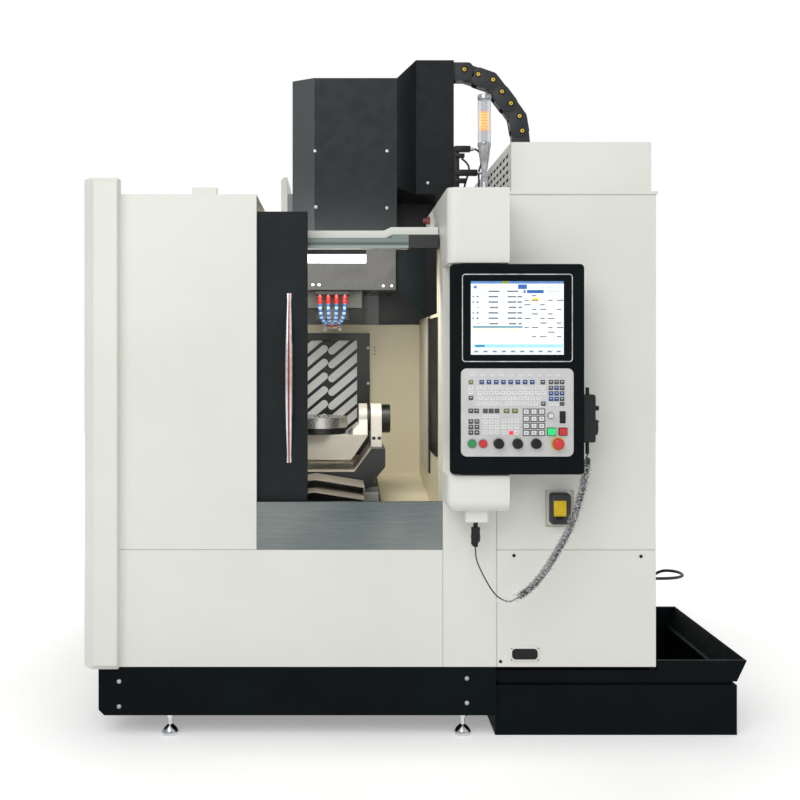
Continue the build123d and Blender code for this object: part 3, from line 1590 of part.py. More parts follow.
# Coolant hose: a loop out of the cabinet's side and down into the tank
hose_route = [
    (933.5, -500.0, 536.0),
    (1060.0, -500.0, 536.0),
    (1136.0, -492.0, 536.0),
    (1186.0, -452.0, 536.0),
    (1200.0, -392.0, 535.0),
    (1186.0, -332.0, 533.0),
    (1142.0, -286.0, 526.0),
    (1104.0, -262.0, 490.0),
    (1088.0, -254.0, 432.0),
    (1084.0, -252.0, 364.0),
    (1086.0, -252.0, 296.0),
    (1088.0, -252.0, 226.0),
]
with BuildPart() as pump_hose:
    hose_volume = cord_tube(hose_route, pump_hose_radius)
print("hose volume over section times length", pump_hose.part.volume / hose_volume)

# Every piece by its name, written as one file each
pieces = {
    "plinth": plinth,
    "levelling_feet": levelling_feet,
    "machine_bed": machine_bed,
    "machine_column": machine_column,
    "left_pillar": left_pillar,
    "left_front_panel": left_front_panel,
    "left_side_panel": left_side_panel,
    "rear_panel": rear_panel,
    "lower_front_panel": lower_front_panel,
    "sill_plate": sill_plate,
    "operator_column": operator_column,
    "top_beam": top_beam,
    "work_lamp": work_lamp,
    "right_inner_wall": right_inner_wall,
    "wall_inserts": wall_inserts,
    "rear_inner_wall": rear_inner_wall,
    "chip_pan": chip_pan,
    "slatted_guard": slatted_guard,
    "electrical_cabinet": electrical_cabinet,
    "breaker_box": breaker_box,
    "cabinet_top_box": cabinet_top_box,
    "coolant_tank": coolant_tank,
    "signal_tower": signal_tower,
    "spindle_head": spindle_head,
    "spindle_nose": spindle_nose,
    "head_lower_cover": head_lower_cover,
    "head_cover": head_cover,
    "head_side_cover": head_side_cover,
    "coolant_nozzles": coolant_nozzles,
    "drag_chain": drag_chain,
    "saddle": saddle,
    "front_way_cover_inner": front_way_cover_inner,
    "front_way_cover_outer": front_way_cover_outer,
    "work_table": work_table,
    "trunnion_supports": trunnion_supports,
    "cradle": cradle,
    "rotary_platter": rotary_platter,
    "door_panel": door_panel,
    "door_window": door_window,
    "door_handle": door_handle,
    "panel_housing": panel_housing,
    "screen": screen,
    "keypad": keypad,
    "spindle_override_knob": spindle_override_knob,
    "feed_override_knob": feed_override_knob,
    "mode_selector_knob": mode_selector_knob,
    "cycle_start_button": cycle_start_button,
    "feed_hold_button": feed_hold_button,
    "power_on_button": power_on_button,
    "power_off_button": power_off_button,
    "emergency_stop": emergency_stop,
    "key_switch": key_switch,
    "pendant_body": pendant_body,
    "pendant_dial": pendant_dial,
    "pendant_axis_knob": pendant_axis_knob,
    "pendant_rate_knob": pendant_rate_knob,
    "cord_connector": cord_connector,
    "pendant_cord_coil": pendant_cord_coil,
    "pendant_cord_tail": pendant_cord_tail,
    "pump_hose": pump_hose,
}
os.makedirs("parts", exist_ok=True)
for name, piece in pieces.items():
    piece.part.label = name
    export_step(piece.part, f"parts/{name}.step")
print(len(pieces), "pieces", round(overall_width), round(overall_depth))
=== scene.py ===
import math

import bmesh
import bpy
from mathutils import Matrix, Vector


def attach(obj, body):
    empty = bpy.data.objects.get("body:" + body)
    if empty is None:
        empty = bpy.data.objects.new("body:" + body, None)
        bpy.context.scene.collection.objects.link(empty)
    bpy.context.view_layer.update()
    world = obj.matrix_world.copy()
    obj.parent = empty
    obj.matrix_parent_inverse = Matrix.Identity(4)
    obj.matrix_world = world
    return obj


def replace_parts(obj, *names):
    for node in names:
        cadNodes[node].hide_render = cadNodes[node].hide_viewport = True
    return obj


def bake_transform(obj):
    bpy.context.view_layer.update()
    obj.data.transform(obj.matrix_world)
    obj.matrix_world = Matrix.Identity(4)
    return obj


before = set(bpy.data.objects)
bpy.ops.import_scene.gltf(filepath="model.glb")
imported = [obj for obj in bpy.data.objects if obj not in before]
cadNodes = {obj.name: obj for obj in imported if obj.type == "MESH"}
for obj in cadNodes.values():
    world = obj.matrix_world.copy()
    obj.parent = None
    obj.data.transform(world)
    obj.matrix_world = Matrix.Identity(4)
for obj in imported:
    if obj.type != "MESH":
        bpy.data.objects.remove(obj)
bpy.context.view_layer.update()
mmToM = 0.001
bpy.context.scene.view_settings.view_transform = "Standard"
print("frame loaded", len(cadNodes), "nodes")

cameraSetup = {"place": (-310.5, -4886.0, 1505.0), "lens": 46.15, "sensor": 36.0, "shift": (0.0788, -0.06)}


def setCamera(setup):
    data = bpy.data.cameras.new("camera")
    data.lens = setup["lens"]
    data.sensor_width = setup["sensor"]
    data.shift_x, data.shift_y = setup["shift"]
    data.clip_end = 60
    camera = bpy.data.objects.new("camera", data)
    camera.location = Vector(setup["place"]) * mmToM
    camera.rotation_euler = (math.radians(90), 0, 0)  # looks straight at the machine's front
    bpy.context.collection.objects.link(camera)
    bpy.context.scene.camera = camera


setCamera(cameraSetup)


def linear(code):  # sRGB hex to the linear colour that shaders take
    parts = [int(code[i:i + 2], 16) / 255 for i in (1, 3, 5)]
    return [v / 12.92 if v <= 0.04045 else ((v + 0.055) / 1.055) ** 2.4 for v in parts] + [1.0]


def perMm(size):  # texture scale that gives features of this many millimetres
    return 1000 / size


def addNode(tree, kind, inputs=None, **settings):
    node = tree.nodes.new(kind)
    for name, value in settings.items():
        setattr(node, name, value)
    for socket, value in (inputs or {}).items():
        if isinstance(value, bpy.types.NodeSocket):
            tree.links.new(value, node.inputs[socket])
        else:
            node.inputs[socket].default_value = value
    return node


def startMaterial(name):
    material = bpy.data.materials.new(name)
    material.use_nodes = True
    tree = material.node_tree
    place = addNode(tree, "ShaderNodeTexCoord").outputs["Object"]
    return material, tree, tree.nodes["Principled BSDF"], place


def blendColour(tree, factor, first, second):  # colour socket that goes from first to second
    mix = addNode(tree, "ShaderNodeMix", {0: factor, 6: first, 7: second}, data_type="RGBA")
    return mix.outputs[2]


def spanOf(tree, value, low, high):  # stretches a texture's middle values to a range
    scale = addNode(tree, "ShaderNodeMapRange", {"Value": value, "From Min": 0.3, "From Max": 0.7,
                                                 "To Min": low, "To Max": high})
    return scale.outputs["Result"]


def insideBox(tree, place, low, high):  # 1 inside the box of these corners in millimetres, else 0
    middle = (Vector(low) + Vector(high)) / 2 * mmToM
    half = (Vector(high) - Vector(low)) / 2 * mmToM
    shifted = addNode(tree, "ShaderNodeVectorMath", {0: place, 1: middle}, operation="SUBTRACT")
    share = addNode(tree, "ShaderNodeVectorMath", {0: shifted.outputs[0], 1: half}, operation="DIVIDE")
    size = addNode(tree, "ShaderNodeVectorMath", {0: share.outputs[0]}, operation="ABSOLUTE")
    split = addNode(tree, "ShaderNodeSeparateXYZ", {0: size.outputs[0]})
    wide = addNode(tree, "ShaderNodeMath", {0: split.outputs[0], 1: split.outputs[1]}, operation="MAXIMUM")
    most = addNode(tree, "ShaderNodeMath", {0: wide.outputs[0], 1: split.outputs[2]}, operation="MAXIMUM")
    return addNode(tree, "ShaderNodeMath", {0: most.outputs[0], 1: 1.0}, operation="LESS_THAN").outputs[0]


def noise(tree, place, sizeMm, detail):  # noise with features of this many millimetres
    node = addNode(tree, "ShaderNodeTexNoise", {"Vector": place, "Scale": perMm(sizeMm), "Detail": detail})
    return node.outputs["Fac"]


def roughen(tree, shader, place, grainMm, depthMm, edgeMm=2.0):  # raised grain from a noise of this size
    grain = noise(tree, place, grainMm, 3.0)
    edge = addNode(tree, "ShaderNodeBevel", {"Radius": edgeMm * mmToM}, samples=4)  # folds catch light on their edges
    bump = addNode(tree, "ShaderNodeBump", {"Height": grain, "Distance": depthMm * mmToM,
                                            "Normal": edge.outputs["Normal"]})
    tree.links.new(bump.outputs["Normal"], shader.inputs["Normal"])
    return grain


# Powder coat and paint: an even skin with orange peel, slow clouds of tone and a little handling dirt
def powderCoat(name, light, dark, rough, grainMm, depthMm, cloudMm=700, regions=(), specular=0.5):
    material, tree, shader, place = startMaterial(name)
    shader.inputs["Specular IOR Level"].default_value = specular
    cloud = noise(tree, place, cloudMm, 5.0)
    tone = spanOf(tree, cloud, 0.0, 1.0)
    colour = blendColour(tree, tone, linear(dark), linear(light))
    smear = noise(tree, place, cloudMm / 6, 6.0)
    gloss = spanOf(tree, smear, rough[0], rough[1])
    for low, high, shade in regions:  # parts of one node that have another colour
        mask = insideBox(tree, place, low, high)
        colour = blendColour(tree, mask, colour, linear(shade))
    tree.links.new(colour, shader.inputs["Base Color"])
    tree.links.new(gloss, shader.inputs["Roughness"])
    roughen(tree, shader, place, grainMm, depthMm)
    return material


# Stainless sheet, ground along one axis: fine bright and dull streaks and a stretched highlight
def brushedSteel(name, light, dark, rough, stretch, streakMm, blotchMm=60, metallic=1.0):
    material, tree, shader, place = startMaterial(name)
    shader.inputs["Metallic"].default_value = metallic
    shader.inputs["Anisotropic"].default_value = 0.4
    drawn = addNode(tree, "ShaderNodeMapping", {"Vector": place, "Scale": stretch}, vector_type="POINT")
    streak = noise(tree, drawn.outputs[0], streakMm, 4.0)
    blotch = noise(tree, place, blotchMm, 2.0)
    both = addNode(tree, "ShaderNodeMath", {0: streak, 1: blotch}, operation="ADD")
    half = addNode(tree, "ShaderNodeMath", {0: both.outputs[0], 1: 0.5}, operation="MULTIPLY")
    tone = spanOf(tree, half.outputs[0], 0.0, 1.0)
    tree.links.new(blendColour(tree, tone, linear(dark), linear(light)), shader.inputs["Base Color"])
    tree.links.new(spanOf(tree, streak, rough[0], rough[1]), shader.inputs["Roughness"])
    bump = addNode(tree, "ShaderNodeBump", {"Height": streak, "Distance": 0.006 * mmToM})
    tree.links.new(bump.outputs["Normal"], shader.inputs["Normal"])
    return material


# Bright plated steel: a clear mirror with faint polishing haze
def chromePlate(name, light, dark, rough):
    material, tree, shader, place = startMaterial(name)
    shader.inputs["Metallic"].default_value = 1.0
    haze = noise(tree, place, 25, 4.0)
    colour = blendColour(tree, spanOf(tree, haze, 0.0, 1.0), linear(dark), linear(light))
    tree.links.new(colour, shader.inputs["Base Color"])
    tree.links.new(spanOf(tree, haze, rough[0], rough[1]), shader.inputs["Roughness"])
    return material


# Moulded plastic and rubber: a faint spark-eroded grain and slightly uneven gloss
def mouldedPlastic(name, light, dark, rough, grainMm=1.2, depthMm=0.02, ior=1.49, specular=0.5):
    material, tree, shader, place = startMaterial(name)
    shader.inputs["Specular IOR Level"].default_value = specular
    shader.inputs["IOR"].default_value = ior
    grain = roughen(tree, shader, place, grainMm, depthMm, 0.6)
    cloud = noise(tree, place, 40, 3.0)
    tone = spanOf(tree, cloud, 0.0, 1.0)
    tree.links.new(blendColour(tree, tone, linear(dark), linear(light)), shader.inputs["Base Color"])
    tree.links.new(spanOf(tree, grain, rough[0], rough[1]), shader.inputs["Roughness"])
    return material


# Clear or tinted sheet: smooth, with a trace of wiping marks, and for crumpled film a crease noise that thickens the
# pale tint in patches as painted highlights
def clearSheet(name, tint, rough, alpha, ior=1.5, glintCreaseMm=0):
    material, tree, shader, place = startMaterial(name)
    wipe = noise(tree, place, 80, 5.0)
    shade = blendColour(tree, spanOf(tree, wipe, 0.0, 0.25), linear(tint), linear("#ffffff"))
    tree.links.new(shade, shader.inputs["Base Color"])
    tree.links.new(spanOf(tree, wipe, rough[0], rough[1]), shader.inputs["Roughness"])
    shader.inputs["IOR"].default_value = ior
    shader.inputs["Alpha"].default_value = alpha
    if glintCreaseMm:
        # creases show as patches of denser pale film: painted highlights
        crease = noise(tree, place, glintCreaseMm, 4.0)
        tree.links.new(spanOf(tree, crease, -alpha, 3 * alpha), shader.inputs["Alpha"])
    return material


# Lit plastic: a diffuser or lens that glows, a little brighter in its middle cells
def litPlastic(name, colour, dim, strength, cellMm):
    material, tree, shader, place = startMaterial(name)
    cells = addNode(tree, "ShaderNodeTexVoronoi", {"Vector": place, "Scale": perMm(cellMm)})
    glow = blendColour(tree, cells.outputs["Distance"], linear(colour), linear(dim))
    tree.links.new(glow, shader.inputs["Base Color"])
    tree.links.new(glow, shader.inputs["Emission Color"])
    shader.inputs["Emission Strength"].default_value = strength
    shader.inputs["Roughness"].default_value = 0.35
    return material


# Lamp housing: matt black with one lit strip of milky plastic
def lampBar(name, low, high):
    material, tree, shader, place = startMaterial(name)
    cells = addNode(tree, "ShaderNodeTexVoronoi", {"Vector": place, "Scale": perMm(12)})
    strip = blendColour(tree, cells.outputs["Distance"], linear("#fffdf6"), linear("#f1f4f0"))
    glow = blendColour(tree, insideBox(tree, place, low, high), linear("#0c0d0e"), strip)
    tree.links.new(glow, shader.inputs["Base Color"])
    tree.links.new(glow, shader.inputs["Emission Color"])
    shader.inputs["Emission Strength"].default_value = 3.0
    shader.inputs["Roughness"].default_value = 0.45
    return material


whiteCoat = ("#ecede6", "#e4e5dd", (0.34, 0.46), 2.6, 0.02)  # warm white of all outer sheets
coats = {
    "white": powderCoat("powderCoatedSteelWhite", *whiteCoat),
    "black": powderCoat("powderCoatedSteelBlackTextured", "#1d2224", "#161a1d", (0.42, 0.6), 3.0, 0.16, 300,
                        specular=0.16),
    "base": powderCoat("powderCoatedSteelBlackTeal", "#0a1214", "#070c0f", (0.5, 0.66), 3.0, 0.1, 300,
                       specular=0.07),
    "gloss": powderCoat("enamelledSteelBlackGloss", "#101112", "#0a0b0c", (0.2, 0.32), 7.0, 0.12, 300,
                        specular=0.22),
    "beige": powderCoat("enamelledSteelBeige", "#dcd3b8", "#d3caae", (0.3, 0.45), 3.0, 0.02, 500),
    "castGrey": powderCoat("paintedCastIronGrey", "#8b8f8f", "#777b7b", (0.4, 0.6), 6.0, 0.25, 200),
    # a darker copy of the cast grey for the spindle head under the head cover, as painted shade
    "castShaded": powderCoat("paintedCastIronGreyShaded", "#5b5c58", "#4a4b48", (0.35, 0.55), 6.0, 0.25, 200,
                           specular=0.25),
}
print("coats", len(coats))

metals = {
    "sill": brushedSteel("stainlessSheetBrushed", "#7d827f", "#465154", (0.32, 0.38), (0.01, 1.0, 1.0), 0.8, 420),
    "cover": brushedSteel("stainlessSheetGround", "#b9b0a1", "#9d9486", (0.32, 0.44), (1.0, 0.06, 1.0), 3.0, 120,
                          0.5),
    "turned": brushedSteel("toolSteelTurned", "#c4c3bf", "#b9b8b4", (0.24, 0.28), (0.2, 0.2, 1.0), 0.8, 60, 0.85),
    "chrome": chromePlate("steelChromePlated", "#e6e7e9", "#cfd1d4", (0.08, 0.2)),
    "darkChrome": chromePlate("steelChromePlatedGrey", "#a3a5a7", "#7f8183", (0.08, 0.18)),
    "satin": chromePlate("aluminiumSatinAnodised", "#c4c4c3", "#aeaeae", (0.16, 0.26)),
    "zinc": chromePlate("steelZincPlated", "#c3c5c4", "#9fa2a2", (0.28, 0.42)),
}
plastics = {
    "black": mouldedPlastic("absMouldedBlack", "#1a1a1c", "#121214", (0.36, 0.5), specular=0.25),
    "chain": mouldedPlastic("polyamideMouldedCharcoal", "#2f3134", "#242629", (0.38, 0.52), specular=0.3),
    "darkGrey": mouldedPlastic("absMouldedDarkGrey", "#4a4c50", "#3d3f43", (0.4, 0.55)),
    "midGrey": mouldedPlastic("absMouldedMidGrey", "#9a9c9e", "#86888b", (0.4, 0.55)),
    "film": mouldedPlastic("polyesterFilmPrintedGrey", "#d3d4d3", "#c9cac9", (0.42, 0.52), 0.8, 0.006),
    "pale": mouldedPlastic("polyesterFilmPrintedPale", "#eceded", "#e2e3e4", (0.4, 0.5), 0.8, 0.006),
    "navy": mouldedPlastic("polyesterFilmPrintedNavy", "#2c4a86", "#243f76", (0.38, 0.5), 0.8, 0.006),
    "olive": mouldedPlastic("polyesterFilmPrintedOlive", "#7c7a4c", "#6d6b42", (0.4, 0.52), 0.8, 0.006),
    "red": mouldedPlastic("polycarbonateMouldedRed", "#d8201c", "#b91512", (0.2, 0.32), 2.0, 0.01, 1.58),
    "green": mouldedPlastic("polycarbonateMouldedGreen", "#1f9a55", "#167c42", (0.2, 0.32), 2.0, 0.01, 1.58),
    "plate": mouldedPlastic("absMouldedWarmGrey", "#c3bfb1", "#b5b1a3", (0.4, 0.55)),
    "rust": mouldedPlastic("polyurethaneTubeDarkRed", "#66302a", "#572722", (0.3, 0.42)),
    "yellow": mouldedPlastic("absMouldedYellow", "#f2cf1a", "#ddb90f", (0.35, 0.48)),
    "blue": mouldedPlastic("acetalMouldedBlue", "#2b5590", "#1f4478", (0.25, 0.4)),
    "ivory": mouldedPlastic("acetalMouldedIvory", "#dfe3ea", "#cdd3dd", (0.25, 0.4)),
    "orange": mouldedPlastic("acetalMouldedOrange", "#e8702a", "#cf5a1c", (0.3, 0.42)),
    "inlay": mouldedPlastic("acrylicInlayRed", "#a8141b", "#8e0f15", (0.16, 0.26), 3.0, 0.01),
    "sky": mouldedPlastic("acetalMouldedPaleBlue", "#8ea9cb", "#7c99be", (0.25, 0.4)),
    "rubber": mouldedPlastic("pvcSheathBlack", "#2c2d2f", "#1d1d1f", (0.2, 0.36), 2.0, 0.03, 1.52),
    "hose": mouldedPlastic("nitrileHoseBlack", "#19191a", "#101011", (0.4, 0.55), 2.0, 0.05, 1.52),
}
glows = {
    "amber": litPlastic("ledCoreAmber", "#ffc21e", "#ffdc50", 1.0, 9.0),
    "haze": litPlastic("acrylicCoreOrange", "#ff7a08", "#ff9426", 1.0, 20.0),
    "green": litPlastic("polycarbonateLitGreen", "#2fd67a", "#1fb862", 0.5, 14.0),
    "red": litPlastic("polycarbonateLitRed", "#ff3a4e", "#e02038", 0.6, 8.0),
}
clears = {
    "tower": clearSheet("acrylicTubeClear", "#b4b9bd", (0.04, 0.12), 0.34),
    "film": clearSheet("polyethyleneFilmClear", "#e9edef", (0.08, 0.26), 0.2, 1.5, 7.0),
    "pane": clearSheet("laminatedGlassSmoked", "#2b3033", (0.03, 0.1), 0.6),
    "screen": clearSheet("hardenedGlassDark", "#15171b", (0.06, 0.14), 1.0),
}
print("metals, plastics and lit pieces", len(metals), len(plastics), len(glows))


def joinInto(whole, part, matrix, paint):  # adds a small mesh to a piece, with its place in the paint list
    part.transform(matrix)
    for face in part.faces:
        face.material_index = paint
    mesh = bpy.data.meshes.new("part")
    part.to_mesh(mesh)
    part.free()
    whole.from_mesh(mesh)
    bpy.data.meshes.remove(mesh)


def addBox(whole, low, high, bevel=0.0, paint=0, turn=None, steps=2):
    part = bmesh.new()
    bmesh.ops.create_cube(part, size=1.0)
    bmesh.ops.scale(part, vec=Vector(high) - Vector(low), verts=part.verts)
    if bevel:
        bmesh.ops.bevel(part, geom=part.edges[:], offset=bevel, segments=steps, profile=0.5, affect="EDGES")
    place = Matrix.Translation((Vector(low) + Vector(high)) / 2)
    joinInto(whole, part, place @ (turn or Matrix()), paint)


def facing(place, direction):  # matrix that stands local +Z along a direction at a place
    return Matrix.Translation(place) @ Vector(direction).to_track_quat("Z", "Y").to_matrix().to_4x4()


def addLathe(whole, profile, matrix, paint=0, steps=28, lobes=0, depth=0.0):
    part = bmesh.new()
    rings = []
    for radius, height in profile:
        if radius == 0:
            rings.append([part.verts.new((0, 0, height))])
            continue
        ring = []
        for i in range(steps):
            angle = 2 * math.pi * i / steps
            reach = radius + depth * math.cos(lobes * angle) if lobes else radius  # flutes round the turning
            ring.append(part.verts.new((reach * math.cos(angle), reach * math.sin(angle), height)))
        rings.append(ring)
    for lower, upper in zip(rings, rings[1:]):
        for i in range(steps):
            j = (i + 1) % steps
            corners = [lower[i % len(lower)], lower[j % len(lower)], upper[j % len(upper)], upper[i % len(upper)]]
            unique = list(dict.fromkeys(corners))
            if len(unique) > 2:
                part.faces.new(unique)
    for ring, down in ((rings[0], True), (rings[-1], False)):
        if len(ring) > 2:
            part.faces.new(ring[::-1] if down else ring)
    joinInto(whole, part, matrix, paint)


def sideways(line):  # for each point of a line, its way ahead and two square directions that do not twist
    across = None
    for i, point in enumerate(line):
        ahead = (line[min(i + 1, len(line) - 1)] - line[max(i - 1, 0)]).normalized()
        if across is None:
            across = ahead.orthogonal().normalized()
        across = (across - ahead * across.dot(ahead)).normalized()
        yield point, across, ahead.cross(across)


def skin(part, rings):  # quads between each ring of points and the next
    for lower, upper in zip(rings, rings[1:]):
        for k in range(len(lower)):
            j = (k + 1) % len(lower)
            part.faces.new((lower[k], lower[j], upper[j], upper[k]))


def addTube(whole, line, radius, paint=0, sides=10):  # closed round tube along points
    part = bmesh.new()
    turns = [2 * math.pi * k / sides for k in range(sides)]
    rings = [[part.verts.new(point + (across * math.cos(turn) + up * math.sin(turn)) * radius) for turn in turns]
             for point, across, up in sideways(line)]
    skin(part, rings)
    part.faces.new(rings[0][::-1])
    part.faces.new(rings[-1])
    joinInto(whole, part, Matrix(), paint)


def newPiece(name, whole, materials, body, sharp=35):  # a finished piece in metres on its body
    whole.transform(Matrix.Scale(mmToM, 4))
    mesh = bpy.data.meshes.new(name)
    whole.to_mesh(mesh)
    whole.free()
    for material in materials:
        mesh.materials.append(material)
    mesh.shade_smooth()
    mesh.set_sharp_from_angle(angle=math.radians(sharp))
    piece = bpy.data.objects.new(name, mesh)
    bpy.context.collection.objects.link(piece)
    if body:
        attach(piece, body)
    return piece


pendantCord = {
    "coilRoute": [(630.5, -1031, 1122), (630.5, -1031, 1090), (624, -1031, 1046), (612, -1030, 985),
                  (594, -1029, 920), (572, -1028, 856), (544, -1026, 798), (514, -1023, 744),
                  (476, -1019, 680), (430, -1015, 622), (395, -1013, 592), (361.5, -1011, 570)],
    "tailRoute": [(361.5, -1011, 570), (347.75, -1010, 562), (329, -1007, 562), (310, -1002, 570),
                  (290, -996, 584), (270, -990, 612), (252, -985, 644), (236, -981, 676), (224, -978, 704),
                  (217.5, -976, 734), (217.5, -976, 763)],
    "wireRadius": 2.7,
    "coilRadius": 10.8,
    "pitch": 7.4,
    "turnPoints": 14,
    "rampTurns": 2.0,
    "leadTurns": 1.0,
}


def routeLine(points):  # points read back from a smooth spline through the route
    curve = bpy.data.curves.new("route", "CURVE")
    curve.dimensions = "3D"
    curve.resolution_u = 30
    spline = curve.splines.new("NURBS")
    spline.points.add(len(points) - 1)
    for control, point in zip(spline.points, points):
        control.co = (*point, 1)
    spline.order_u = 3
    spline.use_endpoint_u = True
    holder = bpy.data.objects.new("route", curve)
    bpy.context.collection.objects.link(holder)
    mesh = bpy.data.meshes.new_from_object(holder)
    line = [v.co.copy() for v in mesh.vertices]
    bpy.data.objects.remove(holder)
    bpy.data.curves.remove(curve)
    bpy.data.meshes.remove(mesh)
    return line


def evenly(line, step):  # the same line with points a fixed step apart
    marks = [0.0]
    for first, second in zip(line, line[1:]):
        marks.append(marks[-1] + (second - first).length)
    count = max(2, round(marks[-1] / step))
    spaced = []
    k = 0
    for i in range(count + 1):
        goal = marks[-1] * i / count
        while k < len(marks) - 2 and marks[k + 1] < goal:
            k += 1
        share = (goal - marks[k]) / max(marks[k + 1] - marks[k], 1e-9)
        spaced.append(line[k].lerp(line[k + 1], min(share, 1.0)))
    return spaced


def pathLength(line):
    return sum((b - a).length for a, b in zip(line, line[1:]))


def makePendantCord(spec):
    step = spec["pitch"] / spec["turnPoints"]
    core = evenly(routeLine(spec["coilRoute"]), step)
    ramp = spec["rampTurns"] * spec["turnPoints"]
    lead = spec["leadTurns"] * spec["turnPoints"]
    path = []
    angle = 0.0
    for i, (point, across, up) in enumerate(sideways(core)):
        near = min(i, len(core) - 1 - i) - lead  # straight at both ends, then the turns open out
        grow = min(1.0, max(0.0, near / ramp))
        grow = grow * grow * (3 - 2 * grow)
        angle += 2 * math.pi / spec["turnPoints"] * grow
        path.append(point + (across * math.cos(angle) + up * math.sin(angle)) * spec["coilRadius"] * grow)
    path += evenly(routeLine(spec["tailRoute"]), 5.0)[1:]
    whole = bmesh.new()
    addTube(whole, path, spec["wireRadius"], sides=8)
    cord = newPiece("pendantCord", whole, [plastics["rubber"]], None, 60)
    metres = [p * mmToM for p in path]
    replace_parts(cord, "pendant_cord_coil", "pendant_cord_tail")
    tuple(metres[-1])
    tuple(metres[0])
    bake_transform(cord)
    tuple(metres[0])
    round(pathLength(metres), 3)
    print("pendant cord", len(path), "points", round(pathLength(metres), 3), "m")
    makeSleeve(cordFilm, spec["coilRoute"], metres)


cordFilm = {"radius": 16.8, "sides": 18, "step": 6.0, "bareSteps": 6, "flatRings": 14, "flatShare": 0.45,
            "emptyEnd": [(330, -1010, 561), (286, -1010, 566)]}


def makeSleeve(spec, coilRoute, metres):  # crumpled clear film that still wraps the coil
    part = bmesh.new()
    rings = []
    line = evenly(routeLine(coilRoute + spec["emptyEnd"]), spec["step"])[spec["bareSteps"]:]
    turns = [2 * math.pi * k / spec["sides"] for k in range(spec["sides"])]
    for i, (point, across, up) in enumerate(sideways(line)):
        flat = spec["flatShare"] if i > len(line) - spec["flatRings"] else 1.0  # empty end of the film lies flat
        ring = []
        for turn in turns:
            crease = 1.6 * math.sin(5 * turn + 0.9 * i) + 1.4 * math.sin(3 * turn - 1.7 * i) + 1.2 * math.sin(2.3 * i)
            reach = across * math.cos(turn) + up * math.sin(turn)
            ring.append(part.verts.new(point + reach * (spec["radius"] + crease) * flat))
        rings.append(ring)
    skin(part, rings)
    sleeve = newPiece("cordFilm", part, [clears["film"]], None, 25)
    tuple(metres[-1])
    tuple(metres[0])
    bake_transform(sleeve)


makePendantCord(pendantCord)

pumpHose = {
    "route": [(933.5, -500, 536), (1060, -500, 536), (1136, -492, 536), (1186, -452, 536), (1200, -392, 535),
              (1186, -332, 533), (1142, -286, 526), (1104, -262, 490), (1088, -254, 432), (1084, -252, 364),
              (1086, -252, 296), (1088, -252, 226)],
    "radius": 6.5,
}


def makePumpHose(spec):
    path = evenly(routeLine(spec["route"]), 6.0)
    whole = bmesh.new()
    addTube(whole, path, spec["radius"], sides=14)
    hose = newPiece("pumpHose", whole, [plastics["hose"]], "machine", 60)
    metres = [p * mmToM for p in path]
    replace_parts(hose, "pump_hose")
    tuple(metres[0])
    round(pathLength(metres), 3)
    print("pump hose", round(pathLength(metres), 3), "m")


makePumpHose(pumpHose)

studio = {"floor": "#f4f4f3", "room": "#ffffff", "roomLight": 0.47,
          "lamps": [((-1.8, -5.6, 5.0), 5.0, 190), ((4.6, -4.8, 3.4), 4.0, 20), ((0.0, 3.6, 5.2), 5.0, 60)],
          "aim": (0.0, -0.2, 1.2), "near": (1.6, 0.32), "far": (5.0, 1.0),
          "inner": ((-0.36, -0.68, 1.87), (-0.3, 0.15, 1.15), (0.68, 0.35), 8.5, (1.0, 0.97, 0.9))}


def seenRays(tree):  # 1 for rays from the camera, from mirrors and through glass
    rays = addNode(tree, "ShaderNodeLightPath").outputs
    seen = addNode(tree, "ShaderNodeMath", {0: rays["Is Camera Ray"], 1: rays["Is Glossy Ray"]}, operation="MAXIMUM")
    return addNode(tree, "ShaderNodeMath", {0: seen.outputs[0], 1: rays["Is Transmission Ray"]},
                   operation="MAXIMUM").outputs[0]


def addLamp(place, aim, size, power, colour=(1, 1, 1)):
    data = bpy.data.lights.new("softbox", "AREA")
    data.shape = "RECTANGLE"
    data.size, data.size_y = size
    data.energy = power
    data.color = colour
    lamp = bpy.data.objects.new("softbox", data)
    lamp.location = place
    lamp.rotation_euler = (Vector(place) - Vector(aim)).to_track_quat("Z", "Y").to_euler()
    lamp.visible_camera = False
    bpy.context.collection.objects.link(lamp)


def setStudio(setup):
    world = bpy.data.worlds.new("room")
    bpy.context.scene.world = world
    world.use_nodes = True
    tree = world.node_tree
    level = addNode(tree, "ShaderNodeMapRange", {"Value": seenRays(tree), "To Min": setup["roomLight"],
                                                 "To Max": 1.0})
    back = tree.nodes["Background"]
    back.inputs["Color"].default_value = linear(setup["room"])
    tree.links.new(level.outputs["Result"], back.inputs["Strength"])
    for place, size, power in setup["lamps"]:
        addLamp(place, setup["aim"], (size, size), power)
    addLamp(*setup["inner"])  # the machine's own light over the table
    whole = bmesh.new()
    bmesh.ops.create_grid(whole, x_segments=1, y_segments=1, size=14000)
    material, floorTree, shader, place = startMaterial("paintedScreedPale")
    cloud = noise(floorTree, place, 900, 3.0)
    tone = spanOf(floorTree, cloud, 0.0, 1.0)
    shade = blendColour(floorTree, tone, linear("#efefee"), linear(setup["floor"]))
    floorTree.links.new(shade, shader.inputs["Base Color"])
    shader.inputs["Roughness"].default_value = 0.8
    reach = addNode(floorTree, "ShaderNodeVectorMath", {0: place}, operation="LENGTH")
    lift = addNode(floorTree, "ShaderNodeMapRange", {"Value": reach.outputs["Value"], "From Min": setup["near"][0],
                                                     "From Max": setup["far"][0], "To Min": setup["near"][1],
                                                     "To Max": setup["far"][1]})
    glow = addNode(floorTree, "ShaderNodeMath", {0: lift.outputs["Result"], 1: seenRays(floorTree)},
                   operation="MULTIPLY")
    shader.inputs["Emission Color"].default_value = linear(setup["room"])
    floorTree.links.new(glow.outputs[0], shader.inputs["Emission Strength"])
    floor = newPiece("floor", whole, [material], None)
    floor.location = (0, 0, -0.0005)


setStudio(studio)

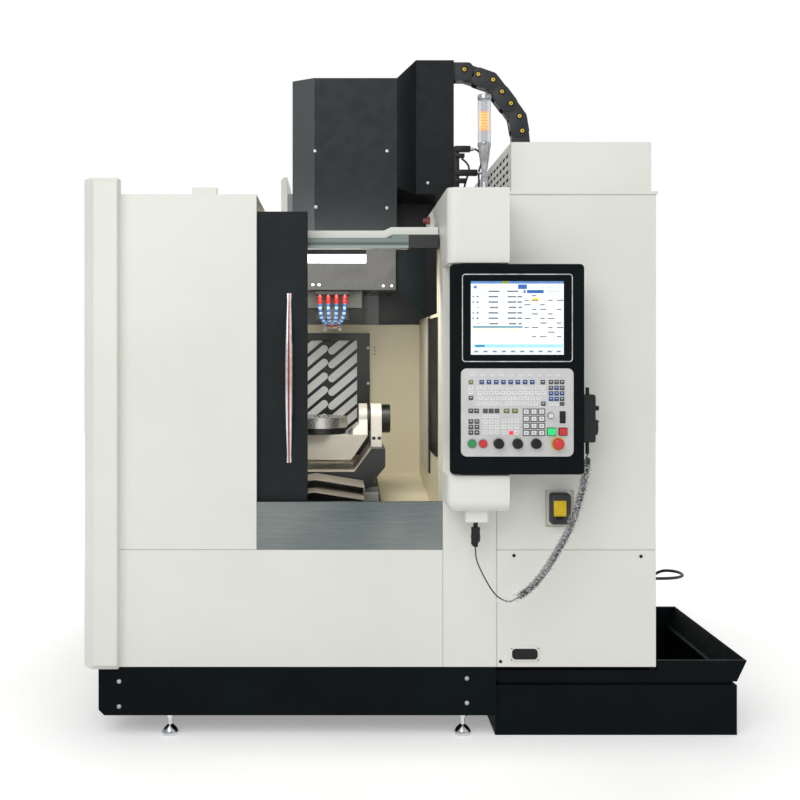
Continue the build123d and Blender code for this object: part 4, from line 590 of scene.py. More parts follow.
xTable, yTable = -400.5, -266.0
mixedCoats = {  # finishes of nodes that carry more than one paint
    "supports": powderCoat("paintedCastIronWhiteAndBlackWithHoleShade", "#d9d6cb", "#cfccc1", (0.3, 0.42), 4.0, 0.05, 200,
                           [((-112, -500, 1000), (0, 0, 1400), "#0f1011"),
                            ((-1000, -500, 1000), (-856, 0, 1400), "#1b1c1f"),
                            # third box: the inner faces of the supports' square holes are near black, as painted
                            # shade in the holes
                            ((-700, -335, 1112), (-100, -318, 1136), "#0d0e0f")]),
    "cradle": powderCoat("paintedCastIronWhite", "#c6c2b7", "#bab6ab", (0.28, 0.4), 4.0, 0.05, 200,
                         [((xTable - 160, -450, 1141.2), (xTable + 160, -80, 1180), "#1a1b1d")]),
    "beam": powderCoat("powderCoatedSteelWhiteWithRail", *whiteCoat, 500,
                       [((-1400, -790, 1915), (200, -746.5, 1990), "#7d8a86"),
                        ((-1400, -790, 1915), (200, -746.5, 1932), "#98a5a1"),
                        ((-1400, -790, 1932), (200, -746.5, 1945), "#56635f"),
                        ((-24, -800, 1900), (200, -600, 1974), "#0e1011")]),
    "inserts": powderCoat("laminatedGlassAndRubberBellows", "#c9c4b4", "#b9b4a4", (0.3, 0.42), 5.0, 0.004, 300,
                          [((0, -760, 900), (200, -330, 1800), "#141517")]),
    "guard": powderCoat("powderCoatedSteelGreyAndBlack", "#dcdee0", "#ced0d2", (0.3, 0.45), 3.0, 0.03, 200,
                        [((-600, 100, 900), (-100, 165, 1700), "#17181a"),
                         ((-600, 179.5, 900), (-100, 250, 1700), "#17181a")]),
    "table": powderCoat("paintedCastIronBlackAndBareSteel", "#24282a", "#1b1f21", (0.3, 0.45), 4.0, 0.05, 200,
                        [((xTable - 239, -435.5, 985), (xTable + 239, -96.5, 1086), "#b9b0a2")]),
    "column": powderCoat("paintedCastIronWithCoversAndPaintedShade", "#ecede6", "#e4e5dd", (0.34, 0.5), 3.0, 0.04, 500,
                         [((-560, 200, 200), (-100.6, 1100, 2310), "#8b9092"),
                          # the near-black box on the column's side behind the head stands in for painted shade there
                          ((-100.6, 200, 200), (300, 500, 2500), "#14171a")]),
    "head": powderCoat("powderCoatedSteelBlackWithPaintedLitFold", "#23282b", "#1b2023", (0.42, 0.6), 3.0, 0.16, 300,
                       # the lighter grey on the cover's left fold is a painted highlight on the same black paint
                       [((-514, -300, 1900), (-412, 300, 2900), "#4a4f51")], 0.25),
    "topBox": powderCoat("powderCoatedSteelWhiteWithPaintedVentShade", *whiteCoat, 700,
                         # the near black on the vent slots' inner walls and floors is painted shade
                         [((381, -824, 2133), (460, 352, 2334), "#111213")]),
    "cabinet": powderCoat("powderCoatedSteelWhiteCabinet", *whiteCoat, 700,
                          [((378, -889, 327), (464, -870, 354), "#0c0c0d")]),
    "breaker": powderCoat("absMouldedBlackOnGreyPlate", "#1c1c1e", "#141416", (0.34, 0.48), 1.5, 0.03, 100,
                          [((480, -893, 800), (620, -880, 1000), "#d9d8d3")]),
}
finishes = {
    "white": "left_pillar left_front_panel left_side_panel rear_panel lower_front_panel operator_column",
    "black": "head_side_cover door_panel",
    "base": "plinth coolant_tank panel_housing",
    "gloss": "head_lower_cover",
    "beige": "right_inner_wall rear_inner_wall chip_pan",
    "castGrey": "machine_bed saddle",
    "castShaded": "spindle_head",
}
singleFinishes = {
    "sill_plate": metals["sill"], "front_way_cover_inner": metals["cover"],
    "front_way_cover_outer": metals["cover"], "rotary_platter": metals["turned"],
    "spindle_nose": metals["turned"], "levelling_feet": metals["chrome"],
    "work_lamp": lampBar("sheetSteelBlackWithLitDiffuser", (-700, -708, 1869), (200, -600, 1903)),
    "door_window": clears["pane"], "screen": clears["screen"], "pendant_body": plastics["black"],
    "pendant_dial": plastics["black"], "pendant_axis_knob": plastics["black"],
    "pendant_rate_knob": plastics["black"], "cord_connector": plastics["black"],
    "spindle_override_knob": plastics["black"], "feed_override_knob": plastics["black"],
    "mode_selector_knob": plastics["black"], "cycle_start_button": plastics["green"],
    "power_on_button": glows["green"], "feed_hold_button": plastics["red"], "power_off_button": plastics["red"],
    "emergency_stop": plastics["red"], "key_switch": metals["chrome"],
    "trunnion_supports": mixedCoats["supports"], "cradle": mixedCoats["cradle"], "top_beam": mixedCoats["beam"],
    "wall_inserts": mixedCoats["inserts"], "slatted_guard": mixedCoats["guard"], "work_table": mixedCoats["table"],
    "machine_column": mixedCoats["column"], "head_cover": mixedCoats["head"],
    "cabinet_top_box": mixedCoats["topBox"],
    "electrical_cabinet": mixedCoats["cabinet"], "breaker_box": mixedCoats["breaker"],
}


def dress(node, material):
    slots = cadNodes[node].data.materials
    slots.clear()
    slots.append(material)


for coat, names in finishes.items():
    for node in names.split():
        dress(node, coats[coat])
for node, material in singleFinishes.items():
    dress(node, material)
guardEdge = -62.0  # right of this fold the head's lower cover is the dull side guard
lowerCover = cadNodes["head_lower_cover"].data
lowerCover.materials.append(coats["base"])
for face in lowerCover.polygons:
    face.material_index = int(face.center.x > guardEdge * mmToM)
print("dressed nodes", sum(len(names.split()) for names in finishes.values()) + len(singleFinishes))


def roundedOutline(cx, cz, width, height, corner, steps=6):  # corners of a rounded rectangle, as (x, z)
    points = []
    for sx, sz, start in ((1, 1, 0), (-1, 1, 90), (-1, -1, 180), (1, -1, 270)):
        for i in range(steps + 1):
            angle = math.radians(start + 90 * i / steps)
            points.append((cx + sx * (width / 2 - corner) + corner * math.cos(angle),
                           cz + sz * (height / 2 - corner) + corner * math.sin(angle)))
    return points


def addPlate(whole, outline, yFront, yBack, paint=0, bevel=0.0):  # flat plate that faces the front
    part = bmesh.new()
    face = part.faces.new([part.verts.new((x, yBack, z)) for x, z in outline])
    face.normal_update()
    grown = bmesh.ops.extrude_face_region(part, geom=[face])
    moved = [item for item in grown["geom"] if isinstance(item, bmesh.types.BMVert)]
    bmesh.ops.translate(part, vec=(0, yFront - yBack, 0), verts=moved)
    if bevel:
        rim = [edge for edge in part.edges if all(abs(v.co.y - yFront) < 1e-4 for v in edge.verts)]
        bmesh.ops.bevel(part, geom=rim, offset=bevel, segments=2, profile=0.5, affect="EDGES")
    bmesh.ops.recalc_face_normals(part, faces=part.faces[:])
    joinInto(whole, part, Matrix(), paint)


def addRing(whole, cx, cz, inner, outer, yFront, yBack, paint=0, steps=32):  # flat ring that faces the front
    tall, edge = yBack - yFront, 0.4
    part = bmesh.new()
    rings = []
    for radius, height in ((inner, 0), (outer, 0), (outer, tall - edge), (outer - edge, tall), (inner, tall)):
        rings.append([part.verts.new((cx + radius * math.cos(2 * math.pi * i / steps), yBack - height,
                                      cz + radius * math.sin(2 * math.pi * i / steps))) for i in range(steps)])
    skin(part, rings + rings[:1])
    bmesh.ops.recalc_face_normals(part, faces=part.faces[:])
    joinInto(whole, part, Matrix(), paint)


keypadPlate = {"left": 149.5, "top": 1444.0, "width": 418.0, "height": 327.0, "corner": 22.0,
               "front": -1082.0, "back": -1079.0, "keyRise": 1.4, "keyBevel": 0.5,
               "stop": (508.56, 1165.0), "round": [(190.46, 1165.0), (231.43, 1165.0)],
               "knobs": [(289.53, 1165.0), (359.34, 1165.0), (428.31, 1165.0)],
               "flat": [(485.15, 1209.5), (527.79, 1209.5)], "key": [(482.65, 1269.06)],
               "markRadius": 22.5, "marks": 13, "markSize": (1.8, 0.4), "sunk": 0.2, "rocker": (0.902, 0.553),
               "litKey": (0.444, 0.730)}
keypadRings = {  # inner and outer radius, rise and ink
    "knobs": (17.9, 19.6, 0.8, 5), "round": (15.0, 17.6, 2.4, 6), "key": (9.6, 13.0, 1.6, 6),
}
stopCollar = {"inner": 20.9, "outer": 25.0, "rise": 4.0}
keyInks = ["film", "pale", "navy", "darkGrey", "olive", "black", "midGrey"]


def onKeypad(across, down):  # place of a share of the keypad's width and height
    return (keypadPlate["left"] + keypadPlate["width"] * across,
            keypadPlate["top"] - keypadPlate["height"] * down)


keyRows = [  # shares across and down of the first key, steps, columns and rows, key size in mm, ink, mark ink
    ((0.111, 0.076), (0.0838, 0.0), 10, 1, (15, 10), 1, 6),
    ((0.184, 0.155), (0.0641, 0.0), 8, 1, (17, 16), 2, 1),
    ((0.160, 0.218), (0.0512, 0.0), 12, 1, (17, 14), 1, 6),
    ((0.168, 0.278), (0.0512, 0.0), 12, 1, (17, 14), 1, 6),
    ((0.176, 0.340), (0.0512, 0.0), 11, 1, (17, 14), 1, 6),
    ((0.150, 0.400), (0.0512, 0.0), 11, 1, (17, 14), 1, 6),
    ((0.799, 0.155), (0.0491, 0.0), 3, 1, (17, 16), 3, 1),
    ((0.799, 0.221), (0.0982, 0.0), 2, 1, (17, 16), 3, 1),
    ((0.848, 0.221), (0.05, 0.0), 1, 1, (17, 16), 2, 1),
    ((0.799, 0.283), (0.0491, 0.0), 3, 1, (17, 16), 2, 1),
    ((0.799, 0.346), (0.0491, 0.0), 2, 1, (17, 16), 2, 1),
    ((0.897, 0.346), (0.05, 0.0), 1, 1, (17, 16), 3, 1),
    ((0.799, 0.402), (0.0491, 0.0), 2, 1, (17, 14), 1, 6),
    ((0.897, 0.402), (0.05, 0.0), 1, 1, (17, 14), 3, 4),
    ((0.088, 0.155), (0.05, 0.0), 1, 1, (17, 16), 4, 1),
    ((0.726, 0.155), (0.05, 0.0), 1, 1, (17, 16), 3, 1),
    ((0.088, 0.218), (0.0, 0.055), 1, 2, (17, 14), 1, 6),
    ((0.088, 0.335), (0.05, 0.0), 1, 1, (17, 16), 3, 1),
    ((0.731, 0.400), (0.05, 0.0), 1, 1, (17, 16), 3, 1),
    ((0.088, 0.482), (0.0513, 0.0), 2, 1, (18, 17), 3, 1),
    ((0.216, 0.482), (0.0513, 0.0), 3, 1, (18, 17), 3, 4),
    ((0.404, 0.482), (0.0748, 0.0), 2, 1, (22, 17), 4, 1),
    ((0.088, 0.602), (0.0535, 0.063), 2, 3, (18, 17), 3, 1),
    ((0.216, 0.545), (0.0513, 0.060), 3, 4, (17, 14), 1, 6),
    ((0.383, 0.597), (0.0556, 0.066), 3, 3, (17, 15), 1, 6),
]
framedKeys = {"first": (0.579, 0.490), "step": (0.0684, 0.0805), "columns": 3, "rows": 4, "size": (26, 23)}


def addKey(whole, x, z, size, ink, mark):
    front = keypadPlate["front"] - keypadPlate["keyRise"]
    addBox(whole, (x - size[0] / 2, front, z - size[1] / 2),
           (x + size[0] / 2, keypadPlate["front"] + 0.6, z + size[1] / 2), keypadPlate["keyBevel"], ink, steps=1)
    if mark is not None:  # a plain dash where a real key has its legend
        addBox(whole, (x - size[0] * 0.22, front - 0.12, z + size[1] * 0.02),
               (x + size[0] * 0.22, front + 0.3, z + size[1] * 0.18), 0.0, mark)


def makeKeypad():
    spec = keypadPlate
    whole = bmesh.new()
    outline = roundedOutline(spec["left"] + spec["width"] / 2, spec["top"] - spec["height"] / 2,
                             spec["width"], spec["height"], spec["corner"], 8)
    addPlate(whole, outline, spec["front"], spec["back"], 0, 0.8)
    for first, step, columns, rows, size, ink, mark in keyRows:
        for column in range(columns):
            for row in range(rows):
                x, z = onKeypad(first[0] + step[0] * column, first[1] + step[1] * row)
                addKey(whole, x, z, size, ink, mark)
    framed = framedKeys
    for column in range(framed["columns"]):
        for row in range(framed["rows"]):
            x, z = onKeypad(framed["first"][0] + framed["step"][0] * column,
                            framed["first"][1] + framed["step"][1] * row)
            addKey(whole, x, z, framed["size"], 3, None)
            inner = [value - 7 for value in framed["size"]]
            addBox(whole, (x - inner[0] / 2, spec["front"] - 2.0, z - inner[1] / 2),
                   (x + inner[0] / 2, spec["front"], z + inner[1] / 2), 0.5, 1, steps=1)
            addBox(whole, (x - 3.5, spec["front"] - 2.2, z - 2.0), (x + 3.5, spec["front"] - 1.5, z + 2.0), 0.0, 6)
    halfLong, halfTall = spec["markSize"]
    for x, z in spec["knobs"]:  # scale marks round each selector
        for i in range(spec["marks"]):
            angle = math.radians(225 - 22.5 * i)
            cx, cz = x + spec["markRadius"] * math.cos(angle), z + spec["markRadius"] * math.sin(angle)
            addBox(whole, (cx - halfLong, spec["front"] - 0.15, cz - halfTall),
                   (cx + halfLong, spec["front"] + 0.3, cz + halfTall), 0.0, 5, Matrix.Rotation(-angle, 4, "Y"))
    back = spec["front"] + spec["sunk"]
    for kind, (inside, outside, rise, ink) in keypadRings.items():
        for x, z in spec[kind]:
            addRing(whole, x, z, inside, outside, spec["front"] - rise, back, ink)
    for x, z in spec["flat"]:
        addPlate(whole, roundedOutline(x, z, 34, 30, 2.5, 3), spec["front"] - 1.2, back, 5, 0.4)
    rocker = onKeypad(*spec["rocker"])
    addPlate(whole, roundedOutline(*rocker, 22, 45, 2.5, 3), spec["front"] - 2.2, back, 5, 0.6)
    for side in (-1, 1):  # the rocker's two faces
        turn = Matrix.Rotation(math.radians(8 * side), 4, "X")
        addBox(whole, (rocker[0] - 8.5, spec["front"] - 6.0, rocker[1] + side * 9.4 - 8.8),
               (rocker[0] + 8.5, spec["front"] - 1.4, rocker[1] + side * 9.4 + 8.8), 0.8, 5, turn)
    piece = newPiece("keypadPlate", whole, [plastics[ink] for ink in keyInks], "panel", 30)
    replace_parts(piece, "keypad")
    lit = bmesh.new()
    x, z = onKeypad(*spec["litKey"])
    addBox(lit, (x - 8, spec["front"] - 1.9, z - 7), (x + 8, spec["front"] - 1.2, z + 7), 0.3)
    newPiece("litKey", lit, [glows["red"]], "panel")
    ring = bmesh.new()
    addRing(ring, *spec["stop"], stopCollar["inner"], stopCollar["outer"], spec["front"] - stopCollar["rise"], back)
    newPiece("stopCollar", ring, [plastics["yellow"]], "panel")
    print("keypad made")


makeKeypad()

screenPicture = {"left": 186.0, "top": 1768.0, "width": 345.0, "height": 273.0, "front": -1081.25, "back": -1081.0}
screenInks = {
    "paper": ("#f3f6f8", "#e9eef2"), "bar": ("#5b8cc0", "#4a79ad"), "tab": ("#2f66ad", "#28589a"),
    "yellow": ("#f4ea3e", "#e8dc2a"), "teal": ("#2f7288", "#3f8ea0"), "cyan": ("#a9dfe9", "#97d2de"),
    "dash": ("#5d6a76", "#6d7984"), "pale": ("#d5dde3", "#cbd5dc"), "lime": ("#e9f6bd", "#dff0a8"),
}
screenFields = [  # left, right, top and bottom shares of the picture, and the ink
    (0.0, 1.0, 0.0, 1.0, "paper"), (0.0, 1.0, 0.0, 0.035, "bar"), (0.34, 0.405, 0.0, 0.035, "yellow"),
    (0.62, 0.7, 0.005, 0.03, "pale"), (0.84, 0.99, 0.005, 0.03, "pale"), (0.03, 0.065, 0.06, 0.1, "bar"),
    (0.508, 0.604, 0.045, 0.108, "tab"), (0.628, 0.7, 0.06, 0.095, "pale"), (0.726, 0.79, 0.06, 0.095, "pale"),
    (0.82, 0.89, 0.06, 0.095, "pale"), (0.92, 0.98, 0.06, 0.095, "pale"), (0.566, 0.592, 0.12, 0.165, "bar"),
    (0.604, 0.784, 0.12, 0.165, "tab"), (0.82, 0.97, 0.125, 0.155, "pale"), (0.19, 0.31, 0.128, 0.15, "dash"),
    (0.39, 0.51, 0.128, 0.15, "dash"), (0.02, 0.556, 0.612, 0.634, "teal"), (0.02, 0.556, 0.652, 0.668, "lime"),
    (0.655, 0.73, 0.23, 0.275, "yellow"), (0.02, 0.99, 0.858, 0.905, "cyan"), (0.05, 0.15, 0.868, 0.895, "bar"),
    (0.557, 0.562, 0.11, 0.84, "pale"),
]


screenTrim = {"centre": (358.5, 1631.5), "outer": (411, 327, 12), "inner": (404, 320, 9),
              "foot": -1079.0, "crest": -1083.6, "inside": -1082.9}


def makeScreen():
    spec = screenPicture
    names = list(screenInks)
    fields = list(screenFields)
    for row in range(6):  # rows of figures, drawn as plain dashes
        top = 0.2 + 0.0735 * row
        for left, right in ((0.018, 0.035), (0.06, 0.085), (0.19, 0.295), (0.395, 0.49), (0.5, 0.55)):
            fields.append((left + 0.012 * (row % 3 == 2), right, top, top + 0.022, "dash"))
    for row in range(10):
        top = 0.19 + 0.062 * row
        for k, left in enumerate((0.575, 0.655, 0.745, 0.83, 0.925)):
            if (row * 3 + k * 2) % 4:
                fields.append((left, left + 0.03 + 0.02 * ((row + k) % 3), top, top + 0.016,
                               "dash" if (row + k) % 3 else "pale"))
    for column in range(10):
        left = 0.015 + 0.0985 * column
        fields.append((left, left + 0.09, 0.925, 0.985, "pale"))
        fields.append((left + 0.025, left + 0.065, 0.947, 0.965, "dash"))
    whole = bmesh.new()
    for level, (left, right, top, bottom, ink) in enumerate(fields):
        rise = 0.0 if level == 0 else (0.12 if ink != "dash" else 0.2)
        x, z = spec["left"], spec["top"]
        addBox(whole, (x + spec["width"] * left, spec["front"] - rise, z - spec["height"] * bottom),
               (x + spec["width"] * right, spec["back"] - 0.02, z - spec["height"] * top), 0.0, names.index(ink))
    lit = [litPlastic("litScreen_" + name, *screenInks[name], 0.42, 30.0) for name in names]
    newPiece("screenPicture", whole, lit, "panel")
    rim = bmesh.new()  # bright line round the screen's frame
    trim = screenTrim
    outer = roundedOutline(*trim["centre"], *trim["outer"])
    inner = roundedOutline(*trim["centre"], *trim["inner"])
    skin(rim, [[rim.verts.new((x, y, z)) for x, z in line]
               for line, y in ((outer, trim["foot"]), (outer, trim["crest"]), (inner, trim["crest"]),
                               (inner, trim["inside"]))])
    bmesh.ops.recalc_face_normals(rim, faces=rim.faces[:])
    newPiece("screenTrim", rim, [metals["zinc"]], "panel")
    print("screen made", len(fields), "fields")


makeScreen()

screwSets = {  # radius of the head, the way it faces, the body it rides on and its places
    "plinthScrews": (9.0, (0, -1, 0), "machine", [(-1162, -878, 218), (-1162, -878, 120), (197, -878, 230),
                                                  (197, -878, 134)]),
    "cabinetScrewsBlack": (6.5, (0, -1, 0), "machine", [(379.8, -886, 711), (875, -886, 708), (327.5, -886, 298)]),
    "headCoverScrews": (8.0, (0, -1, 0), "head", [(-409, -286, 2406), (-86, -286, 2406), (-405, -286, 2155),
                                                  (-86, -286, 2151)]),
    "sideCoverScrews": (8.0, (0, -1, 0), "head", [(115, -86, 2296)]),
    "lowerCoverScrews": (7.0, (0, -1, 0), "head", [(-415, -436, 1796), (-388, -436, 1796), (-109, -436, 1791),
                                                   (-72, -436, 1791)]),
    "guardScrews": (7.0, (0, -1, 0), "machine", [(-158, 154, 1525), (-158, 154, 1350), (-158, 154, 1170),
                                                 (-551, 154, 1525), (-551, 154, 1350), (-551, 154, 1170)]),
    "platterScrews": (5.5, (0, 0, 1), "platter", [(xTable + 42 * math.cos(math.radians(a)),
                                                   yTable + 42 * math.sin(math.radians(a)), 1214.9)
                                                  for a in range(0, 360, 60)]),
}


def makeScrews():
    for name, (radius, way, body, places) in screwSets.items():
        whole = bmesh.new()
        profile = [(radius, -0.5), (radius, radius * 0.25), (radius * 0.82, radius * 0.48),
                   (radius * 0.5, radius * 0.56), (radius * 0.48, radius * 0.2), (0, radius * 0.2)]
        for place in places:
            addLathe(whole, profile, facing(place, way), 0, 18)
        newPiece(name, whole, [plastics["black"] if name.endswith("Black") else metals["zinc"]], body)
    print("screws", sum(len(entry[3]) for entry in screwSets.values()))


makeScrews()

nozzleSet = {"x": -330.5, "y": -401.0, "top": 1774.0, "manifold": (150, 30, 22), "pitch": 36.0, "tipPitch": 17.0,
             "valve": 35.0, "hose": 90.0, "lean": 40.0, "tip": 42.0, "bead": 8.4, "beads": 11, "count": 4}


def makeNozzles(spec):
    wide, deep, tall = spec["manifold"]
    low = spec["top"] - tall
    whole = bmesh.new()
    addBox(whole, (spec["x"] - wide / 2, spec["y"] - deep / 2, low),
           (spec["x"] + wide / 2, spec["y"] + deep / 2, spec["top"]), 2.0, 0)
    for number in range(spec["count"]):
        place = number - (spec["count"] - 1) / 2
        x = spec["x"] + place * spec["pitch"]
        seat = Vector((x, spec["y"], low))
        body = [(8.0, 0), (10.4, -2), (10.4, -9), (8.4, -11), (8.4, -20), (10.2, -22), (10.2, -31), (8.2, -35)]
        addLathe(whole, body, Matrix.Translation(seat), 1, 20)
        addLathe(whole, [(2.6, 0), (2.6, 9), (0, 9)], facing(seat + Vector((0, -7, -15.5)), (0, -1, 0)), 4, 12)
        addBox(whole, seat + Vector((-2.6, -19, -20)), seat + Vector((2.6, -15, 3)), 1.0, 1)  # tap lever
        start = seat + Vector((0, 0, -spec["valve"]))
        end = Vector((spec["x"] + place * spec["tipPitch"], spec["y"] + spec["lean"], start.z - spec["hose"]))
        knee = Vector((x, spec["y"], start.z - spec["hose"] * 0.86))
        bend = [start.lerp(knee, t / spec["beads"]).lerp(knee.lerp(end, t / spec["beads"]), t / spec["beads"])
                for t in range(spec["beads"] + 1)]
        for bead, (foot, head) in enumerate(zip(bend, bend[1:])):  # ball-and-socket links, dark and pale blue
            step = (head - foot).length
            link = [(5.4, 0), (7.6, step * 0.12), (spec["bead"], step * 0.42), (7.8, step * 0.74), (5.2, step * 1.04)]
            addLathe(whole, link, facing(foot, head - foot), 3 if bead % 2 else 2, 16)
        tip = [(5.4, 0), (7.4, 3), (7.4, 9), (5.6, 15), (3.8, spec["tip"]), (2.2, spec["tip"]), (2.2, 30), (0, 30)]
        addLathe(whole, tip, facing(end, end - knee), 5, 16)
    piece = newPiece("coolantNozzles", whole, [plastics["black"], plastics["red"], plastics["blue"],
                                               plastics["sky"], metals["zinc"], plastics["orange"]],
                     "head")
    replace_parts(piece, "coolant_nozzles")
    print("coolant nozzles", spec["count"])


makeNozzles(nozzleSet)

signalTower = {
    "x": 250.5, "y": -981.0, "foot": 2120.0, "top": 2487.0, "flutes": 20, "fluteDepth": 1.1, "lensRadius": 24.0,
    "body": [(26.0, 0), (26.0, 4), (24.5, 6), (14.0, 9), (11.5, 16), (11.0, 40), (12.4, 44), (12.4, 58), (8.6, 62),
             (8.6, 70), (12.5, 84), (18.0, 124), (23.4, 164), (25.4, 172), (25.4, 180), (22.5, 182)],
    "cap": [(22.5, -22), (25.6, -20), (25.6, -8), (24.0, -4), (12.0, 0), (0, 0)],  # heights from the top
    "glow": [(12.0, 226), (13.4, 230), (13.4, 296), (12.0, 300)],
    "lampRows": 6, "lampCount": 9, "lampRadius": 13.4, "lampFoot": 236, "lampStep": 11, "lampHalf": (2.4, 2.4, 2.8),
}


def makeTower(spec):
    stand = Matrix.Translation((spec["x"], spec["y"], spec["foot"]))
    tall = spec["top"] - spec["foot"]
    whole = bmesh.new()
    addLathe(whole, spec["body"], stand, 0, 36)
    addLathe(whole, [(radius, tall + down) for radius, down in spec["cap"]], stand, 0, 36)
    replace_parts(newPiece("towerMetal", whole, [metals["darkChrome"]], "machine"), "signal_tower")
    lens = bmesh.new()
    addLathe(lens, [(spec["lensRadius"], 181), (spec["lensRadius"], tall - 21)], stand, 0, 160, spec["flutes"],
             spec["fluteDepth"])
    newPiece("towerLens", lens, [clears["tower"]], "machine", 70)
    core = bmesh.new()
    addLathe(core, [(10.0, 180), (11.5, 196), (11.5, tall - 38), (10.0, tall - 21)], stand, 2, 24)
    addLathe(core, spec["glow"], stand, 1, 24)
    half = Vector(spec["lampHalf"])
    for row in range(spec["lampRows"]):  # rows of small lamps round the core
        for i in range(spec["lampCount"]):
            angle = 2 * math.pi * (i + 0.5 * (row % 2)) / spec["lampCount"]
            spot = Vector((spec["x"] + spec["lampRadius"] * math.cos(angle),
                           spec["y"] + spec["lampRadius"] * math.sin(angle),
                           spec["foot"] + spec["lampFoot"] + row * spec["lampStep"]))
            addBox(core, spot - half, spot + half, 1.0, 0)
    newPiece("towerLamps", core, [glows["amber"], glows["haze"], plastics["ivory"]], "machine")
    print("signal tower", spec["lampRows"] * spec["lampCount"], "lamps")


makeTower(signalTower)

cableChain = {"start": (236.5, -36.0, 2824.0), "foot": 2336.0, "turns": (0, 19, 19, 53, 53, 55, 80, 84, 88, 90),
              "height": 86.0, "width": 64.0, "wall": 6.0, "pin": 9.0, "pinRise": 9.0, "first": 0.7}


def addLinkPlate(whole, seat, pitch, half, outer, wall, ends):  # side plate with round ends where links join
    points = []
    for centre, first, rounded in ((pitch, -90, ends[1]), (0, 90, ends[0])):
        for i in range(13 if rounded else 2):
            angle = math.radians(first + i * 15) if rounded else math.radians(first + i * 180)
            reach = 0.42 * pitch * math.cos(angle) if rounded else 0
            points.append((centre + reach, half * math.sin(angle)))
    part = bmesh.new()
    face = part.faces.new([part.verts.new((x, outer, z)) for x, z in points])
    grown = bmesh.ops.extrude_face_region(part, geom=[face])
    moved = [item for item in grown["geom"] if isinstance(item, bmesh.types.BMVert)]
    bmesh.ops.translate(part, vec=(0, -math.copysign(wall, outer), 0), verts=moved)
    bmesh.ops.recalc_face_normals(part, faces=part.faces[:])
    rim = [edge for edge in part.edges if all(abs(v.co.y - outer) < 0.01 for v in edge.verts)]
    bmesh.ops.bevel(part, geom=rim, offset=2.0, segments=2, profile=0.5, affect="EDGES")
    joinInto(whole, part, seat, 0)


def makeChain(spec):
    angles = [math.radians(turn) for turn in spec["turns"]]
    pitch = (spec["start"][2] - spec["foot"]) / sum(math.sin(angle) for angle in angles)
    whole = bmesh.new()
    here = Vector(spec["start"])
    half, wide, wall = spec["height"] / 2, spec["width"] / 2, spec["wall"]
    for i, angle in enumerate(angles):
        turn = Matrix.Rotation(angle, 4, "Y")
        seat = Matrix.Translation(here) @ turn
        drop = 3.5 * (i % 2)  # every other link lies inside its neighbours
        for side in (-1, 1):
            addLinkPlate(whole, seat, pitch, half - 0.6 * drop, side * (wide - drop), wall,
                         (i > 0, i < len(angles) - 1))
            if i > 0:  # pin cap with a dark ring and a small screw
                hub = seat @ facing((0, side * wide, spec["pinRise"]), (0, side, 0))
                addLathe(whole, [(15.5, -1), (15.5, 1.0), (14.5, 1.6), (0, 1.6)], hub, 2, 24)
                addLathe(whole, [(spec["pin"], 0), (spec["pin"], 2.6), (spec["pin"] * 0.75, 3.6), (0, 3.6)], hub,
                         1, 20)
                addLathe(whole, [(3.4, 0), (3.4, 4.2), (0, 4.2)], hub, 2, 12)
        for level in (-1, 1):  # snap-on cross bars
            middle = seat @ Matrix.Translation((pitch / 2, 0, level * (half - 5)))
            part = bmesh.new()
            bmesh.ops.create_cube(part, size=1.0)
            bmesh.ops.scale(part, vec=(pitch * 0.62, spec["width"] - 2 * wall, 7), verts=part.verts)
            bmesh.ops.bevel(part, geom=part.edges[:], offset=1.5, segments=2, profile=0.5, affect="EDGES")
            joinInto(whole, part, middle, 0)
        here = here + turn.to_3x3() @ Vector((pitch * (spec["first"] if i == 0 else 1), 0, 0))
    chain = newPiece("cableChain", whole, [plastics["chain"], plastics["yellow"], plastics["black"]], None)
    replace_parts(chain, "drag_chain")
    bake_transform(chain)
    print("cable chain", len(angles), "links, pitch", round(pitch, 1))


makeChain(cableChain)

breakerFace = {"x": 550.0, "z": 901.0, "front": -931.0, "label": (48, 60), "toggle": -36.0,
               "plate": (558.0, 894.6, 112, 143, -886.0)}


def makeBreakerFace(spec):
    whole = bmesh.new()
    addPlate(whole, roundedOutline(spec["x"], spec["z"], *spec["label"], 2, 3), spec["front"] - 1.2,
             spec["front"] + 0.5, 0, 0.5)
    seat = spec["z"] + spec["toggle"]
    addPlate(whole, roundedOutline(spec["x"], seat, 30, 12, 3, 3), spec["front"] - 3.0, spec["front"] + 0.5, 1, 1.0)
    addBox(whole, (spec["x"] - 9, spec["front"] - 9.0, seat - 4), (spec["x"] + 9, spec["front"] - 2, seat + 4),
           1.5, 1, Matrix.Rotation(math.radians(12), 4, "X"))
    x, z, wide, tall, wall = spec["plate"]
    addPlate(whole, roundedOutline(x, z, wide, tall, 3, 3), wall - 2.5, wall + 0.5, 2, 0.6)
    newPiece("breakerFace", whole, [plastics["yellow"], plastics["black"], plastics["plate"]], "machine")


makeBreakerFace(breakerFace)

doorHandle = {"x": -498.5, "width": 28.0, "z": (1070.0, 1736.0), "door": -856.0, "bow": 42.0, "thick": 10.0,
              "foot": 60.0, "inlay": 0.3, "crown": 6.0, "taper": 0.36, "rows": 44, "columns": 14}


